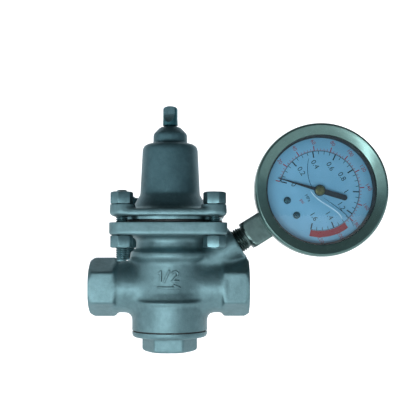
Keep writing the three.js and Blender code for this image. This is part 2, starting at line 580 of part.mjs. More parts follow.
const FRONT_PLATE = [-6.4, -5.4];
const BACK_PLATE = [0.4, 1.4];
DIAL_SCREWS.forEach(([x, z], i) => {
  const head = disc(1.85, DIAL_FACE - 1.1, DIAL_FACE - REST, x, z, 16);
  const shank = disc(1, DIAL_FACE - 0.2, FRONT_PLATE[1], x, z, 12);
  const slot = box([x - 2.2, x + 2.2], [DIAL_FACE - 1.5, DIAL_FACE - 0.7], [z - 0.22, z + 0.22]);
  addToGauge("dial_screw_" + (i + 1), cut(joined(head, shank), slot), STEEL);
});
addToGauge("stop_pin", disc(0.45, DIAL_FACE - 2.4, DIAL_BACK + 0.8, ...STOP_PIN, 8), STEEL);

const POINTER_FRONT = -10.3;
const POINTER_BACK = -9.8;
const POINTER_TIP = 22.5;
const POINTER_TAIL = 14.6;
function pointer() {
  const shape = new THREE.Shape();
  shape.moveTo(POINTER_TIP, 0.12);
  shape.lineTo(4, 0.75);
  shape.absarc(0, 0, 2.9, 14 * DEG, 154 * DEG);
  shape.absarc(1.4 - POINTER_TAIL, 0, 1.4, 90 * DEG, 270 * DEG);
  shape.absarc(0, 0, 2.9, 206 * DEG, 346 * DEG);
  shape.lineTo(4, -0.75);
  shape.lineTo(POINTER_TIP, -0.12);
  shape.closePath();
  const blade = cut(plate(shape, POINTER_FRONT, POINTER_BACK), disc(0.85, -12, -9, 0, 0, 12));
  return blade.rotate([0, -POINTER_ANGLE, 0]);
}
addToGauge("pointer", pointer(), BLACK);
addToGauge("pointer_cap", cut(facing(turned([
  [0, -12.1], [1.7, -12.1], [2.4, -11.5], [2.5, POINTER_FRONT - REST], [0, POINTER_FRONT - REST],
], 24)), disc(0.85, -11.2, -9, 0, 0, 12)), BRASS);

// ---- gauge movement ----------------------------------------------------------------------------------
const PINION_R = PINION_TEETH * GEAR_MODULE / 2;
const SECTOR_R = SECTOR_TEETH * GEAR_MODULE / 2;
const PIVOT = [0, -(PINION_R + SECTOR_R)];
const GEAR_SPAN = [-3.6, -2.4];

// One slender gear tooth on a pitch circle, pointing along an angle, as an outline of four points.
function toothPoints(pitchR, angle, rootHalf) {
  const [dx, dz] = at(1, angle);
  const root = pitchR - TOOTH_ROOT;
  const tip = pitchR + TOOTH_TIP;
  const corners = [[root, rootHalf], [tip, TOOTH_TIP_HALF], [tip, -TOOTH_TIP_HALF], [root, -rootHalf]];
  return corners.map(([along, aside]) => [dx * along - dz * aside, dz * along + dx * aside]);
}

function outline(points) {
  const shape = new THREE.Shape();
  points.forEach(([x, z], i) => (i ? shape.lineTo(x, z) : shape.moveTo(x, z)));
  shape.closePath();
  return shape;
}

const TOOTH_ROOT = GEAR_MODULE * 1.25; // depth below the pitch circle
const TOOTH_TIP = GEAR_MODULE * 0.85; // height above it
const TOOTH_HALF = GEAR_MODULE * 0.62; // half thickness at the root
const TOOTH_TIP_HALF = 0.06;

function pinionArbor() {
  const points = [];
  for (let i = 0; i < PINION_TEETH; i++) {
    // Half a tooth off the line of centres, because a sector tooth stands on it.
    const angle = -90 - (i + 0.5) * 360 / PINION_TEETH;
    points.push(...toothPoints(PINION_R, angle, TOOTH_HALF * 0.8));
  }
  const gear = plate(outline(points), GEAR_SPAN[0] - 0.4, GEAR_SPAN[1] + 0.4);
  return joined(gear, disc(0.75, -11, BACK_PLATE[1] + 0.3, 0, 0, 12));
}
addToGauge("pinion_arbor", pinionArbor(), BRASS);

const SECTOR_FIRST = 6; // degrees of toothed arc past the line of centres at rest
const SECTOR_SPAN = 57;
const SECTOR_TRAVEL = 45;
const TAIL_ANGLE = 272.5; // the tail stands square to the link at half travel
const TAIL_R = 6;
const TAIL_PIN = [PIVOT[0] + at(TAIL_R, TAIL_ANGLE)[0], PIVOT[1] + at(TAIL_R, TAIL_ANGLE)[1]];
function sectorGear() {
  const pitch = 360 / SECTOR_TEETH;
  const points = [[-1.5, 0.9]];
  for (let angle = 90 + SECTOR_FIRST; angle >= 90 - SECTOR_SPAN + SECTOR_FIRST; angle -= pitch) {
    points.push(...toothPoints(SECTOR_R, angle, TOOTH_HALF));
  }
  points.push([1.7, -0.6]);
  const toothed = plate(outline(points), ...GEAR_SPAN);
  const tail = plate(outline([
    at(1.9, TAIL_ANGLE + 80), at(1.9, TAIL_ANGLE - 80), at(TAIL_R + 1, TAIL_ANGLE - 9),
    at(TAIL_R + 1, TAIL_ANGLE + 9),
  ]), ...GEAR_SPAN);
  const hub = disc(2.1, GEAR_SPAN[0] - 0.5, GEAR_SPAN[1] + 0.5);
  const shaft = disc(0.85, FRONT_PLATE[0] - 0.3, BACK_PLATE[1] + 0.3, 0, 0, 12);
  const pin = disc(0.5, GEAR_SPAN[0], GEAR_SPAN[1] + 1.4, ...at(TAIL_R, TAIL_ANGLE), 8);
  return joined(toothed, tail, hub, shaft, pin).translate(PIVOT[0], 0, PIVOT[1]);
}
addToGauge("sector_gear", sectorGear(), BRASS);

const MOVEMENT_HALF = 6.6;
const pivotHoles = (front, back) => [
  disc(0.95, front - 1, back + 1, 0, 0, 12), disc(0.95, front - 1, back + 1, ...PIVOT, 12),
];
const PILLARS = [[5.2, 3.6], [-5.2, -15.2]];
const MOVEMENT_SCREWS = [[-4, -22.2], [4, -22.2]];
function movementPlate([front, back], low, high, holes) {
  const shape = roundedRectangle(MOVEMENT_HALF, (high - low) / 2, 1.6);
  const blank = plate(shape, front, back).translate(0, 0, (high + low) / 2);
  return cut(blank, ...pivotHoles(front, back), ...holes);
}
addToGauge("movement_front_plate", movementPlate(FRONT_PLATE, -19, 5.6,
  DIAL_SCREWS.map(([x, z]) => disc(1.1, -8, -4, x, z, 12))), BRASS);
addToGauge("movement_back_plate", movementPlate(BACK_PLATE, -24.6, 5.6,
  MOVEMENT_SCREWS.map(([x, z]) => disc(0.95, -1, 3, x, z, 10))), BRASS);
PILLARS.forEach(([x, z], i) => addToGauge("movement_pillar_" + (i + 1),
  disc(1.2, FRONT_PLATE[1] + REST, BACK_PLATE[0] - REST, x, z, 12), BRASS));
MOVEMENT_SCREWS.forEach(([x, z], i) => addToGauge("movement_screw_" + (i + 1),
  joined(disc(1.5, BACK_PLATE[0] - 1.1, BACK_PLATE[0] - REST, x, z, 12),
    disc(0.8, BACK_PLATE[0] - 0.5, BACK_PLATE[1], x, z, 10)), STEEL));

// The elastic tube: a flattened tube bent to a C, closed at its tip.
const TUBE_R = 22;
const TUBE_RADIAL = 2.4;
const TUBE_SPAN = [-0.6, 7.4];
const TUBE_FROM = 248;
const TUBE_TO = -18;
const TIP_ANGLE = TUBE_TO - 5;
function bourdonTube() {
  const shape = new THREE.Shape();
  shape.absarc(0, 0, TUBE_R + TUBE_RADIAL / 2, TUBE_FROM * DEG, TUBE_TO * DEG, true);
  shape.absarc(0, 0, TUBE_R - TUBE_RADIAL / 2, TUBE_TO * DEG, TUBE_FROM * DEG, false);
  shape.closePath();
  return raised(shape, -TUBE_SPAN[1], -TUBE_SPAN[0], 30).rotate([90, 0, 0]);
}
addToGauge("bourdon_tube", bourdonTube(), BRASS);

const TIP = at(TUBE_R - 1.6, TIP_ANGLE);
const LINK_SPAN = [-2.1, -1.5];
function tubeTip() {
  const shape = new THREE.Shape();
  shape.absarc(0, 0, TUBE_R + 1, (TUBE_TO - 0.4) * DEG, (TIP_ANGLE - 5) * DEG, true);
  shape.absarc(0, 0, TUBE_R - 3, (TIP_ANGLE - 5) * DEG, (TUBE_TO - 0.4) * DEG, false);
  shape.closePath();
  return joined(raised(shape, -5, 0.8).rotate([90, 0, 0]), disc(0.5, -3, 0, ...TIP, 8));
}
addToGauge("tube_tip", tubeTip(), BRASS);

// The link hangs on the sector's tail pin and keeps its direction. The tip's pin stands in the long slot of
// its far eye, which is wide enough for the arc of the tail pin.
function movementLink() {
  const run = [TIP[0] - TAIL_PIN[0], TIP[1] - TAIL_PIN[1]];
  const length = Math.hypot(...run);
  const angle = Math.atan2(run[1], run[0]) / DEG;
  const travel = 2 * TAIL_R * Math.sin(SECTOR_TRAVEL / 2 * DEG);
  const arcHeight = TAIL_R * (1 - Math.cos(SECTOR_TRAVEL / 2 * DEG));
  const slotHalf = 0.6 + arcHeight / 2;
  const longSlot = (from, to, half, side) => {
    const shape = new THREE.Shape();
    shape.absarc(from, side, half, 90 * DEG, 270 * DEG);
    shape.absarc(to, side, half, -90 * DEG, 90 * DEG);
    shape.closePath();
    return shape;
  };
  const bar = plate(longSlot(0, length, 1.1, 0), ...LINK_SPAN);
  const farSlot = (half) => longSlot(length - travel, length, half, arcHeight / 2);
  const eye = plate(farSlot(slotHalf + 0.7), ...LINK_SPAN);
  const slot = plate(farSlot(slotHalf), LINK_SPAN[0] - 1, LINK_SPAN[1] + 1);
  const made = cut(joined(bar, eye), slot, disc(0.6, -4, 0, 0, 0, 10));
  return made.rotate([0, -angle, 0]).translate(TAIL_PIN[0], 0, TAIL_PIN[1]);
}
addToGauge("movement_link", movementLink(), BRASS);

export default meshes;
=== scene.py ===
"""The looks of a half-inch pressure reducing valve with a pressure gauge on its outlet side.

Castings are made as distance fields, blended and softened as cast metal is, then machined with boolean cuts.
Turned, threaded and hexagonal pieces are lofted from rings. Lengths here are in millimetres, in the frame of
the CAD model: X along the pipe, Z up the spring axis, the dial facing -Y.
"""

import json
import math

import bpy
import numpy as np
import openvdb
from mathutils import Matrix, Vector

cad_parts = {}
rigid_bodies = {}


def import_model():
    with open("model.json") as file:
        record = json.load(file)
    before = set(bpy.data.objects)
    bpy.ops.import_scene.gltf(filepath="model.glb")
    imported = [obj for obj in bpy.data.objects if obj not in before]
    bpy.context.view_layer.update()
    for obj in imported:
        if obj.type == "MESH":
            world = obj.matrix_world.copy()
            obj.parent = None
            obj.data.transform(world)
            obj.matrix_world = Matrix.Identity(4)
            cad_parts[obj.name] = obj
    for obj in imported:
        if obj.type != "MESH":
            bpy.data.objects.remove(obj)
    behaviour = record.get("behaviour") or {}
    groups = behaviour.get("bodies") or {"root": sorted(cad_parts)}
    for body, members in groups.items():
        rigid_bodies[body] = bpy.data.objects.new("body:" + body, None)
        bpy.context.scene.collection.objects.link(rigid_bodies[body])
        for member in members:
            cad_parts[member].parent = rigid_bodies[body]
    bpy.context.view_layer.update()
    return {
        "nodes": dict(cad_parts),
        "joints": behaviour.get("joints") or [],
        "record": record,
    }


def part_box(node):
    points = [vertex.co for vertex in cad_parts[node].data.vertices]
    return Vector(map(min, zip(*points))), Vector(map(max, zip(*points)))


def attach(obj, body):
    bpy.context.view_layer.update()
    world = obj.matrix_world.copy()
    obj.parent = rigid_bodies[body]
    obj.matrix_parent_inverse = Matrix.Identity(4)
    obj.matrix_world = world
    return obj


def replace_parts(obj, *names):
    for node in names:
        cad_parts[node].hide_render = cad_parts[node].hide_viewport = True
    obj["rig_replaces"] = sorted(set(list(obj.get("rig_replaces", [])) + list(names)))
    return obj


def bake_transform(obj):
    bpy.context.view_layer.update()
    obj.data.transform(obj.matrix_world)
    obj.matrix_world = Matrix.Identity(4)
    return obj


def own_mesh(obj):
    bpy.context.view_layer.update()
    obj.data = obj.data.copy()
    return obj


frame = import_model()

MM = 0.001
DEG = math.pi / 180
IDENTITY = Matrix.Identity(4)


def span(node):
    """The lowest and highest corner of a CAD node, in millimetres."""
    low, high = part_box(node)
    return low / MM, high / MM


def joint(name):
    return next(j for j in frame["joints"] if j["name"] == name)


# ---- driving dimensions, those of the CAD read from its nodes
body_low, body_high = span("body")
plug_low, plug_high = span("bottom_plug")
bonnet_low, bonnet_high = span("bonnet")
screw_low, screw_high = span("adjusting_screw")
diaphragm_low, diaphragm_high = span("diaphragm")
PORT_END = body_high.x
BODY_BOTTOM = body_low.z
FLANGE_TOP = body_high.z
FLANGE_HALF = body_high.y
FLANGE_LOW = span("lower_nut_front_left")[1].z + 0.05
COVER_HALF = 28.4
COVER_LOW = bonnet_low.z + 1.6
COVER_TOP = COVER_LOW + 3.8
PAD_TOP = span("upper_nut_front_left")[0].z - 0.05
NOSE_TOP = bonnet_high.z
WAIST_R = 17.7
NECK_R = 13.3
PORT_FLATS = 26.8
PLUG_FLATS = 25
BOSS_R = 8.9
BARREL_R = 19.5
BOLT_AT = 22.9
BOLT_HOLE_R = 3.3
STUD_R = 2.95
NUT_FLATS = 10
NUT_HEIGHT = 6.2
SOCKET_R = 9.3
SOCKET_DEPTH = 15
GAUGE_TILT = 32
STEM_FACE = (34.9, 23.2)
CASE_R = 32
BEZEL_R = 33.97
DIAL_R = 30.6
DIAL_FACE = -8.5
ZERO_ANGLE = 225
POINTER_ANGLE = 221.5
FULL_TURN = 270
FULL_PRESSURE = 1.6  # MPa
RED_FROM = 1.3  # MPa
MPA_STEPS = 32
PSI_PER_MPA = 145.04
DIAL_SCREWS = ((-4.5, -16.8), (4.5, -16.8))
INK = 0.04  # how far the print stands off the dial, so that it never flickers
BUTTON_TRAVEL = 5
STEM_TRAVEL = 2.5
CAST_STEP = 0.45  # grid step of a casting's distance field


# ---- shader nodes
class Surface:
    """A node material. add() makes a node, with inputs given by name as values or as sockets to link."""

    def __init__(self, name):
        self.material = bpy.data.materials.new(name)
        self.material.use_nodes = True
        self.tree = self.material.node_tree
        self.tree.nodes.clear()
        self.output = self.tree.nodes.new("ShaderNodeOutputMaterial")

    def add(self, kind, inputs=None, **settings):
        node = self.tree.nodes.new("ShaderNode" + kind)
        for key, value in settings.items():
            setattr(node, key, value)
        for key, value in (inputs or {}).items():
            socket = node.inputs[key]
            if isinstance(value, bpy.types.NodeSocket):
                self.tree.links.new(value, socket)
            else:
                socket.default_value = value
        return node

    def noise(self, coordinates, scale, detail=3.0, roughness=0.55):
        node = self.add("TexNoise", {"Vector": coordinates, "Scale": scale, "Detail": detail,
                                     "Roughness": roughness})
        return node.outputs["Fac"]

    def ramp(self, value, stops):
        """Maps 0..1 to a colour or a number through (position, level or colour) stops."""
        node = self.add("ValToRGB", {"Fac": value})
        elements = node.color_ramp.elements
        while len(elements) < len(stops):
            elements.new(0.5)
        for element, (position, level) in zip(elements, stops):
            element.position = position
            colour = level if hasattr(level, "__len__") else (level, level, level)
            element.color = (*colour, 1)
        return node.outputs["Color"]

    def mix(self, amount, first, second, blend="MIX"):
        node = self.add("Mix", data_type="RGBA", blend_type=blend)
        for index, value in ((0, amount), (6, first), (7, second)):
            if isinstance(value, bpy.types.NodeSocket):
                self.tree.links.new(value, node.inputs[index])
            else:
                node.inputs[index].default_value = value
        return node.outputs[2]

    def math(self, operation, first, second):
        return self.add("Math", {0: first, 1: second}, operation=operation).outputs[0]

    def bump(self, height, distance, normal=None):
        inputs = {"Height": height, "Distance": distance * MM}
        if normal is not None:
            inputs["Normal"] = normal
        return self.add("Bump", inputs).outputs["Normal"]

    def coordinates(self, scale=(1, 1, 1)):
        """Object coordinates in millimetres."""
        source = self.add("TexCoord").outputs["Object"]
        node = self.add("Mapping", {"Vector": source, "Scale": [s / MM for s in scale]})
        return node.outputs["Vector"]

    def darken_crevices(self, tone, distance, stops):
        """Painted shade: multiplies a colour by stops over openness, 1 in the open, less in grooves and
        corners where shade falls.
        """
        open_sky = self.add("AmbientOcclusion", {"Distance": distance * MM}, samples=6).outputs["AO"]
        return self.mix(1.0, tone, self.ramp(open_sky, stops), "MULTIPLY")

    def finish(self, kind, inputs):
        """Ends the tree in a shader and gives the material."""
        self.tree.links.new(self.add(kind, inputs).outputs[0], self.output.inputs["Surface"])
        return self.material


def rgba(colour):
    return (*colour, 1)


def cast_metal(name, colour, roughness):
    """Investment-cast steel, bead-blasted: soft waves, fine grain, small pits, and painted shade in its
    crevices.
    """
    s = Surface(name)
    at = s.coordinates()
    cloud = s.noise(at, 0.09, 4)
    patches = s.noise(at, 0.45, 5, 0.6)
    grain = s.noise(at, 2.6, 4, 0.7)
    fine = s.noise(at, 7.0, 2)
    pits = s.add("TexVoronoi", {"Vector": at, "Scale": 0.55, "Randomness": 1.0}).outputs["Distance"]
    pit_depth = s.ramp(pits, ((0.0, 0.0), (0.07, 1.0)))
    light = [min(1, c * 1.22 + 0.015) for c in colour]
    dark = [c * 0.74 for c in colour]
    tone = s.ramp(cloud, ((0.3, dark), (0.7, light)))
    tone = s.mix(0.35, tone, s.ramp(patches, ((0.35, dark), (0.65, light))))
    tone = s.mix(0.3, tone, s.ramp(grain, ((0.3, dark), (0.72, light))))
    # painted shade: the colour darkens where the ambient occlusion finds grooves and corners
    tone = s.darken_crevices(tone, 3.5, ((0.15, 0.35), (0.8, 1.0)))
    gloss = s.ramp(s.math("MULTIPLY_ADD", grain, 0.5), ((0.2, roughness - 0.06), (0.9, roughness + 0.12)))
    waves = s.bump(s.noise(at, 0.3, 2), 0.16)
    grained = s.bump(s.math("ADD", grain, s.math("MULTIPLY", fine, 0.5)), 0.045, waves)
    pitted = s.bump(pit_depth, 0.05, grained)
    return s.finish("BsdfPrincipled", {
        "Base Color": tone, "Metallic": 0.88, "Roughness": gloss, "Normal": pitted,
    })


def machined_metal(name, colour, roughness, brush=(1.0, 1.0, 1.0), wear=0.25, metallic=0.93):
    """Machined steel: tool marks drawn out along one direction, with stains, slightly varied gloss and
    painted shade in its crevices.
    """
    s = Surface(name)
    at = s.coordinates()
    marks = s.noise(s.coordinates(brush), 1.0, 4, 0.65)
    stains = s.noise(at, 0.35, 4, 0.6)
    specks = s.noise(at, 5.0, 3)
    dark = [c * (1 - wear) for c in colour]
    light = [min(1, c * (1 + 0.6 * wear)) for c in colour]
    tone = s.ramp(stains, ((0.32, dark), (0.68, light)))
    tone = s.mix(0.25, tone, s.ramp(marks, ((0.35, dark), (0.65, light))))
    # painted shade: the colour darkens where the ambient occlusion finds grooves and corners
    tone = s.darken_crevices(tone, 1.2, ((0.1, 0.3), (0.85, 1.0)))
    texture = s.mix(0.5, marks, specks)
    return s.finish("BsdfPrincipled", {
        "Base Color": tone, "Metallic": metallic, "Normal": s.bump(texture, 0.012),
        "Roughness": s.ramp(texture, ((0.3, roughness - 0.07), (0.75, roughness + 0.1))),
    })


def rubber(name, colour):
    s = Surface(name)
    at = s.coordinates()
    dust = s.noise(at, 0.8, 5, 0.6)
    grain = s.noise(at, 6.0, 3)
    tone = s.ramp(dust, ((0.35, colour), (0.75, [c * 2.2 + 0.01 for c in colour])))
    gloss = s.ramp(grain, ((0.3, 0.55), (0.7, 0.8)))
    return s.finish("BsdfPrincipled", {"Base Color": tone, "Roughness": gloss, "Normal": s.bump(grain, 0.02)})


def enamel(name, colour, dust_colour, roughness):
    """Painted or printed sheet metal, with a faint unevenness and dust."""
    s = Surface(name)
    at = s.coordinates()
    soft = s.noise(at, 0.06, 3)
    orange_peel = s.noise(at, 1.6, 2)
    tone = s.ramp(soft, ((0.3, dust_colour), (0.7, colour)))
    gloss = s.ramp(orange_peel, ((0.3, roughness - 0.05), (0.7, roughness + 0.08)))
    return s.finish("BsdfPrincipled", {
        "Base Color": tone, "Roughness": gloss, "Normal": s.bump(orange_peel, 0.004),
    })


def clear(name, tint, gloss_roughness, strength):
    """A clear sheet: it lets light straight through and mirrors by its Fresnel gloss, with faint smears."""
    s = Surface(name)
    smears = s.noise(s.coordinates((0.4, 1.0, 1.4)), 0.25, 4, 0.6)
    gloss = s.add("BsdfGlossy", {
        "Color": (1, 1, 1, 1),
        "Roughness": s.ramp(smears, ((0.35, gloss_roughness), (0.75, gloss_roughness + 0.06))),
    })
    through = s.add("BsdfTransparent", {"Color": rgba(tint)})
    fresnel = s.add("Fresnel", {"IOR": 1.5}).outputs[0]
    amount = s.math("MULTIPLY", fresnel, strength)
    return s.finish("MixShader", {0: amount, 1: through.outputs[0], 2: gloss.outputs[0]})


TEAL = np.array((0.106, 0.196, 0.218))
CAST = cast_metal("cast steel", TEAL, 0.4)
# a darker copy of the cast steel: painted shade for the bonnet's tower
CAST_PAINTED_SHADE = cast_metal("cast steel, painted shade on bonnet", TEAL * (0.54, 0.66, 0.7), 0.42)
FACED = machined_metal("faced steel", TEAL * 1.25, 0.3, (3.0, 3.0, 14.0))
NUT_STEEL = machined_metal("nut steel", TEAL, 0.38, (4.0, 4.0, 12.0))
THREAD_STEEL = machined_metal("thread steel", TEAL * 1.35, 0.34, (2.0, 2.0, 16.0))
SCREW_STEEL = machined_metal("screw steel", TEAL * (0.42, 0.72, 0.75), 0.38, (2.0, 2.0, 16.0))
INNER_STEEL = machined_metal("inner steel", TEAL * 1.1, 0.3, (2.0, 2.0, 14.0))
SPRING_STEEL = machined_metal("spring wire", TEAL * 0.7, 0.36, (3.0, 3.0, 3.0))
STEM_STEEL = machined_metal("gauge stem steel", (0.085, 0.135, 0.132), 0.36, (5.0, 9.0, 5.0))
CASE_STEEL = machined_metal("gauge case steel", (0.08, 0.17, 0.2), 0.24, (1.0, 14.0, 1.0), 0.15)
BEZEL_STEEL = machined_metal(
    "gauge bezel steel", (0.085, 0.16, 0.152), 0.22, (0.4, 12.0, 0.4), 0.12, 0.7)
BRASS = machined_metal("brass", (0.42, 0.38, 0.17), 0.3, (4.0, 10.0, 4.0), 0.2)
RUBBER = rubber("black rubber", (0.006, 0.009, 0.01))
DIAL_ENAMEL = enamel("dial enamel", (0.27, 0.54, 0.73), (0.2, 0.44, 0.62), 0.45)
BLACK_INK = enamel("black ink", (0.003, 0.006, 0.01), (0.006, 0.012, 0.018), 0.5)
RED_INK = enamel("red ink", (0.42, 0.012, 0.02), (0.34, 0.02, 0.035), 0.5)
BLACK_PAINT = enamel("black paint", (0.006, 0.008, 0.012), (0.012, 0.016, 0.02), 0.35)
GLASS = clear("gauge glass", (0.9, 0.96, 0.98), 0.02, 0.75)
# painted shade and painted highlight for the liquid's edge: a clear, darker-tinted copy and a pale opaque one
LIQUID_PAINTED_SHADE = clear("liquid edge, painted shade", (0.3, 0.42, 0.5), 0.05, 0.6)
LIQUID_PAINTED_HIGHLIGHT = enamel("liquid edge, painted highlight", (0.8, 0.93, 1.0), (0.62, 0.8, 0.95), 0.2)


# ---- meshes from rings
def make_object(name, points, faces, surface, place=IDENTITY):
    """A mesh object from points in millimetres, given in the frame of place."""
    turn = np.array(place.to_3x3())
    moved = (np.asarray(points, float) @ turn.T + np.array(place.translation)) * MM
    mesh = bpy.data.meshes.new(name)
    mesh.from_pydata(moved.tolist(), [], [list(map(int, f)) for f in faces])
    mesh.materials.append(surface)
    mesh.update()
    made = bpy.data.objects.new(name, mesh)
    bpy.context.scene.collection.objects.link(made)
    return made


def loft(rings, closed=False):
    """Points and faces through rings of equal length. A ring that is one point closes to a tip."""
    points, starts, faces = [], [], []
    for ring in rings:
        starts.append(len(points))
        points.extend(ring)
    count = max(len(ring) for ring in rings)
    pairs = list(zip(range(len(rings)), range(1, len(rings))))
    if closed:
        pairs.append((len(rings) - 1, 0))
    for a, b in pairs:
        for i in range(count):
            j = (i + 1) % count
            low = [starts[a] + k % len(rings[a]) for k in (i, j)]
            high = [starts[b] + k % len(rings[b]) for k in (j, i)]
            corners = list(dict.fromkeys(low + high))
            if len(corners) > 2:
                faces.append(corners)
    return points, faces


def circles(profile, segments):
    """A ring for each (r, z) of a profile. A radius of 0 gives one point."""
    turns = np.arange(segments) * 2 * math.pi / segments
    return [[(r * math.cos(a), r * math.sin(a), z) for a in turns] if r > 1e-6 else [(0.0, 0.0, z)]
            for r, z in profile]


def rounded(profile, steps=4):
    """Replaces each corner given as (r, z, fillet) by an arc. Corners given as (r, z) stay sharp."""
    made = []
    for i, corner in enumerate(profile):
        if len(corner) == 2 or i in (0, len(profile) - 1):
            made.append(tuple(corner[:2]))
            continue
        here = Vector(corner[:2])
        before = (Vector(profile[i - 1][:2]) - here).normalized()
        after = (Vector(profile[i + 1][:2]) - here).normalized()
        half = before.angle(after) / 2
        reach = corner[2] / math.tan(half)
        middle = here + (before + after).normalized() * (corner[2] / math.sin(half))
        start = here + before * reach - middle
        end = here + after * reach - middle
        for k in range(steps + 1):
            arm = start.slerp(end, k / steps).normalized() * corner[2]
            made.append(tuple(middle + arm))
    return made


def turned(name, profile, surface, place=IDENTITY, segments=96):
    """The profile, a list of (r, z) or (r, z, fillet) upwards on the outside, swept round Z."""
    return make_object(name, *loft(circles(rounded(profile), segments)), surface, place)


def rod_tool(r, low, high, surface=None, place=IDENTITY, segments=64):
    """A plain cylinder to cut with. It leaves faced steel unless told otherwise."""
    return turned("tool", [(0, low), (r, low), (r, high), (0, high)], surface or FACED, place, segments)


def block_tool(half_x, half_y, low, high, surface, place):
    """A square-cornered block to cut with."""
    corners = ((-half_x, -half_y), (half_x, -half_y), (half_x, half_y), (-half_x, half_y))
    rings = [[(x, y, z) for x, y in corners] for z in (low, high)]
    return make_object("tool", *loft([[(0, 0, low)], *rings, [(0, 0, high)]]), surface, place)


def thread_rings(major, pitch, depth, low, high, segments, lead=1.0, core=0.0):
    """Rings of a right-hand screw thread. lead is the length over which its ends are chamfered."""
    rings = []
    count = max(2, int(round((high - low) / pitch * 9)))
    for k in range(count + 1):
        z = low + (high - low) * k / count
        limit = major - depth * 1.1 * max(0.0, 1 - min(z - low, high - z) / lead)
        ring = []
        for i in range(segments):
            turn = i / segments
            phase = (z / pitch - turn) % 1.0
            flank = min(1.0, max(0.0, abs(2 * phase - 1) * 1.3 - 0.15))
            r = max(min(major - depth * flank, limit), core)
            ring.append((r * math.cos(turn * 2 * math.pi), r * math.sin(turn * 2 * math.pi), z))
        rings.append(ring)
    return rings


def threaded_rod(name, r, pitch, low, high, surface, place, segments, lead):
    cap_r = (r - pitch * 0.65) * 0.9
    rings = circles([(0, low), (cap_r, low)], segments)
    rings += thread_rings(r, pitch, pitch * 0.58, low, high, segments, lead)
    rings += circles([(cap_r, high + 0.12), (0, high + 0.15)], segments)
    return make_object(name, *loft(rings), surface, place)


def polygon_radius(angle, sides, flats, sharpness=60):
    """Radius of a regular polygon with rounded corners, with a corner on angle 0."""
    total = 0.0
    for i in range(sides):
        total += max(0.0, math.cos(angle - (2 * i + 1) * math.pi / sides)) ** sharpness
    return flats / 2 / total ** (1 / sharpness)


def hex_nut(name, flats, height, hole, surface, place):
    """A hexagon nut with its corners turned down at both ends, and a countersunk hole."""
    angles = np.arange(96) * 2 * math.pi / 96
    outer = np.array([polygon_radius(a, 6, flats) for a in angles])
    face_r = flats / 2 * 0.97
    drop = np.maximum(0, outer - face_r) * math.tan(27 * DEG)
    ends = (
        (hole, 0.55), (hole + 0.5, 0.02), (hole + 0.56, 0), (face_r - 0.12, 0), (face_r, 0.03),
        (np.maximum(face_r, outer - 0.16), np.maximum(0.03, drop - 0.06)),
        (outer - 0.04, drop + 0.04), (outer, drop + 0.16),
    )
    rings = []
    for sign in (-1, 1):
        for r, down in ends[::-sign]:
            z = sign * (height / 2 - down) + 0 * angles
            rings.append(list(zip(r * np.cos(angles), r * np.sin(angles), z)))
    return make_object(name, *loft(rings, closed=True), surface, place)


# ---- castings from distance fields
def smooth_union(a, b, blend):
    """The union of two fields, with a fillet about as large as blend."""
    share = np.clip(0.5 + 0.5 * (b - a) / blend, 0, 1)
    return b + (a - b) * share - blend * share * (1 - share)


def smooth_cut(a, b, blend):
    """The overlap of two fields, with its edge rounded."""
    return -smooth_union(-a, -b, blend)


def outline_distance(outline, a, b):
    """Distance from points (a, b) to a closed outline, negative inside it."""
    nearest = np.full(np.broadcast(a, b).shape, 1e9)
    inside = np.zeros(nearest.shape, bool)
    for (a0, b0), (a1, b1) in zip(outline, outline[1:] + outline[:1]):
        da, db = a1 - a0, b1 - b0
        along = np.clip(((a - a0) * da + (b - b0) * db) / max(da * da + db * db, 1e-12), 0, 1)
        nearest = np.minimum(nearest, (a - a0 - along * da) ** 2 + (b - b0 - along * db) ** 2)
        if b0 != b1:
            crossed = (b0 <= b) != (b1 <= b)
            inside ^= crossed & (a < a0 + (b - b0) * da / db)
    return np.where(inside, -1, 1) * np.sqrt(nearest)


def hexagon_width(a, b, blend):
    """Half the width of a hexagon through each point, with a flat towards a and rounded corners."""
    width = np.abs(a)
    for tilt in (60, 120):
        width = smooth_cut(width, np.abs(a * math.cos(tilt * DEG) + b * math.sin(tilt * DEG)), blend)
    return width


def rounded_ends(side, along, low, high, edge):
    """Ends a long shape at low and high. side is its distance sideways, grown by edge, which rounds it."""
    end = np.abs(along - (low + high) / 2) - (high - low) / 2 + edge
    outside = np.hypot(np.maximum(side, 0), np.maximum(end, 0))
    return np.minimum(np.maximum(side, end), 0) + outside - edge


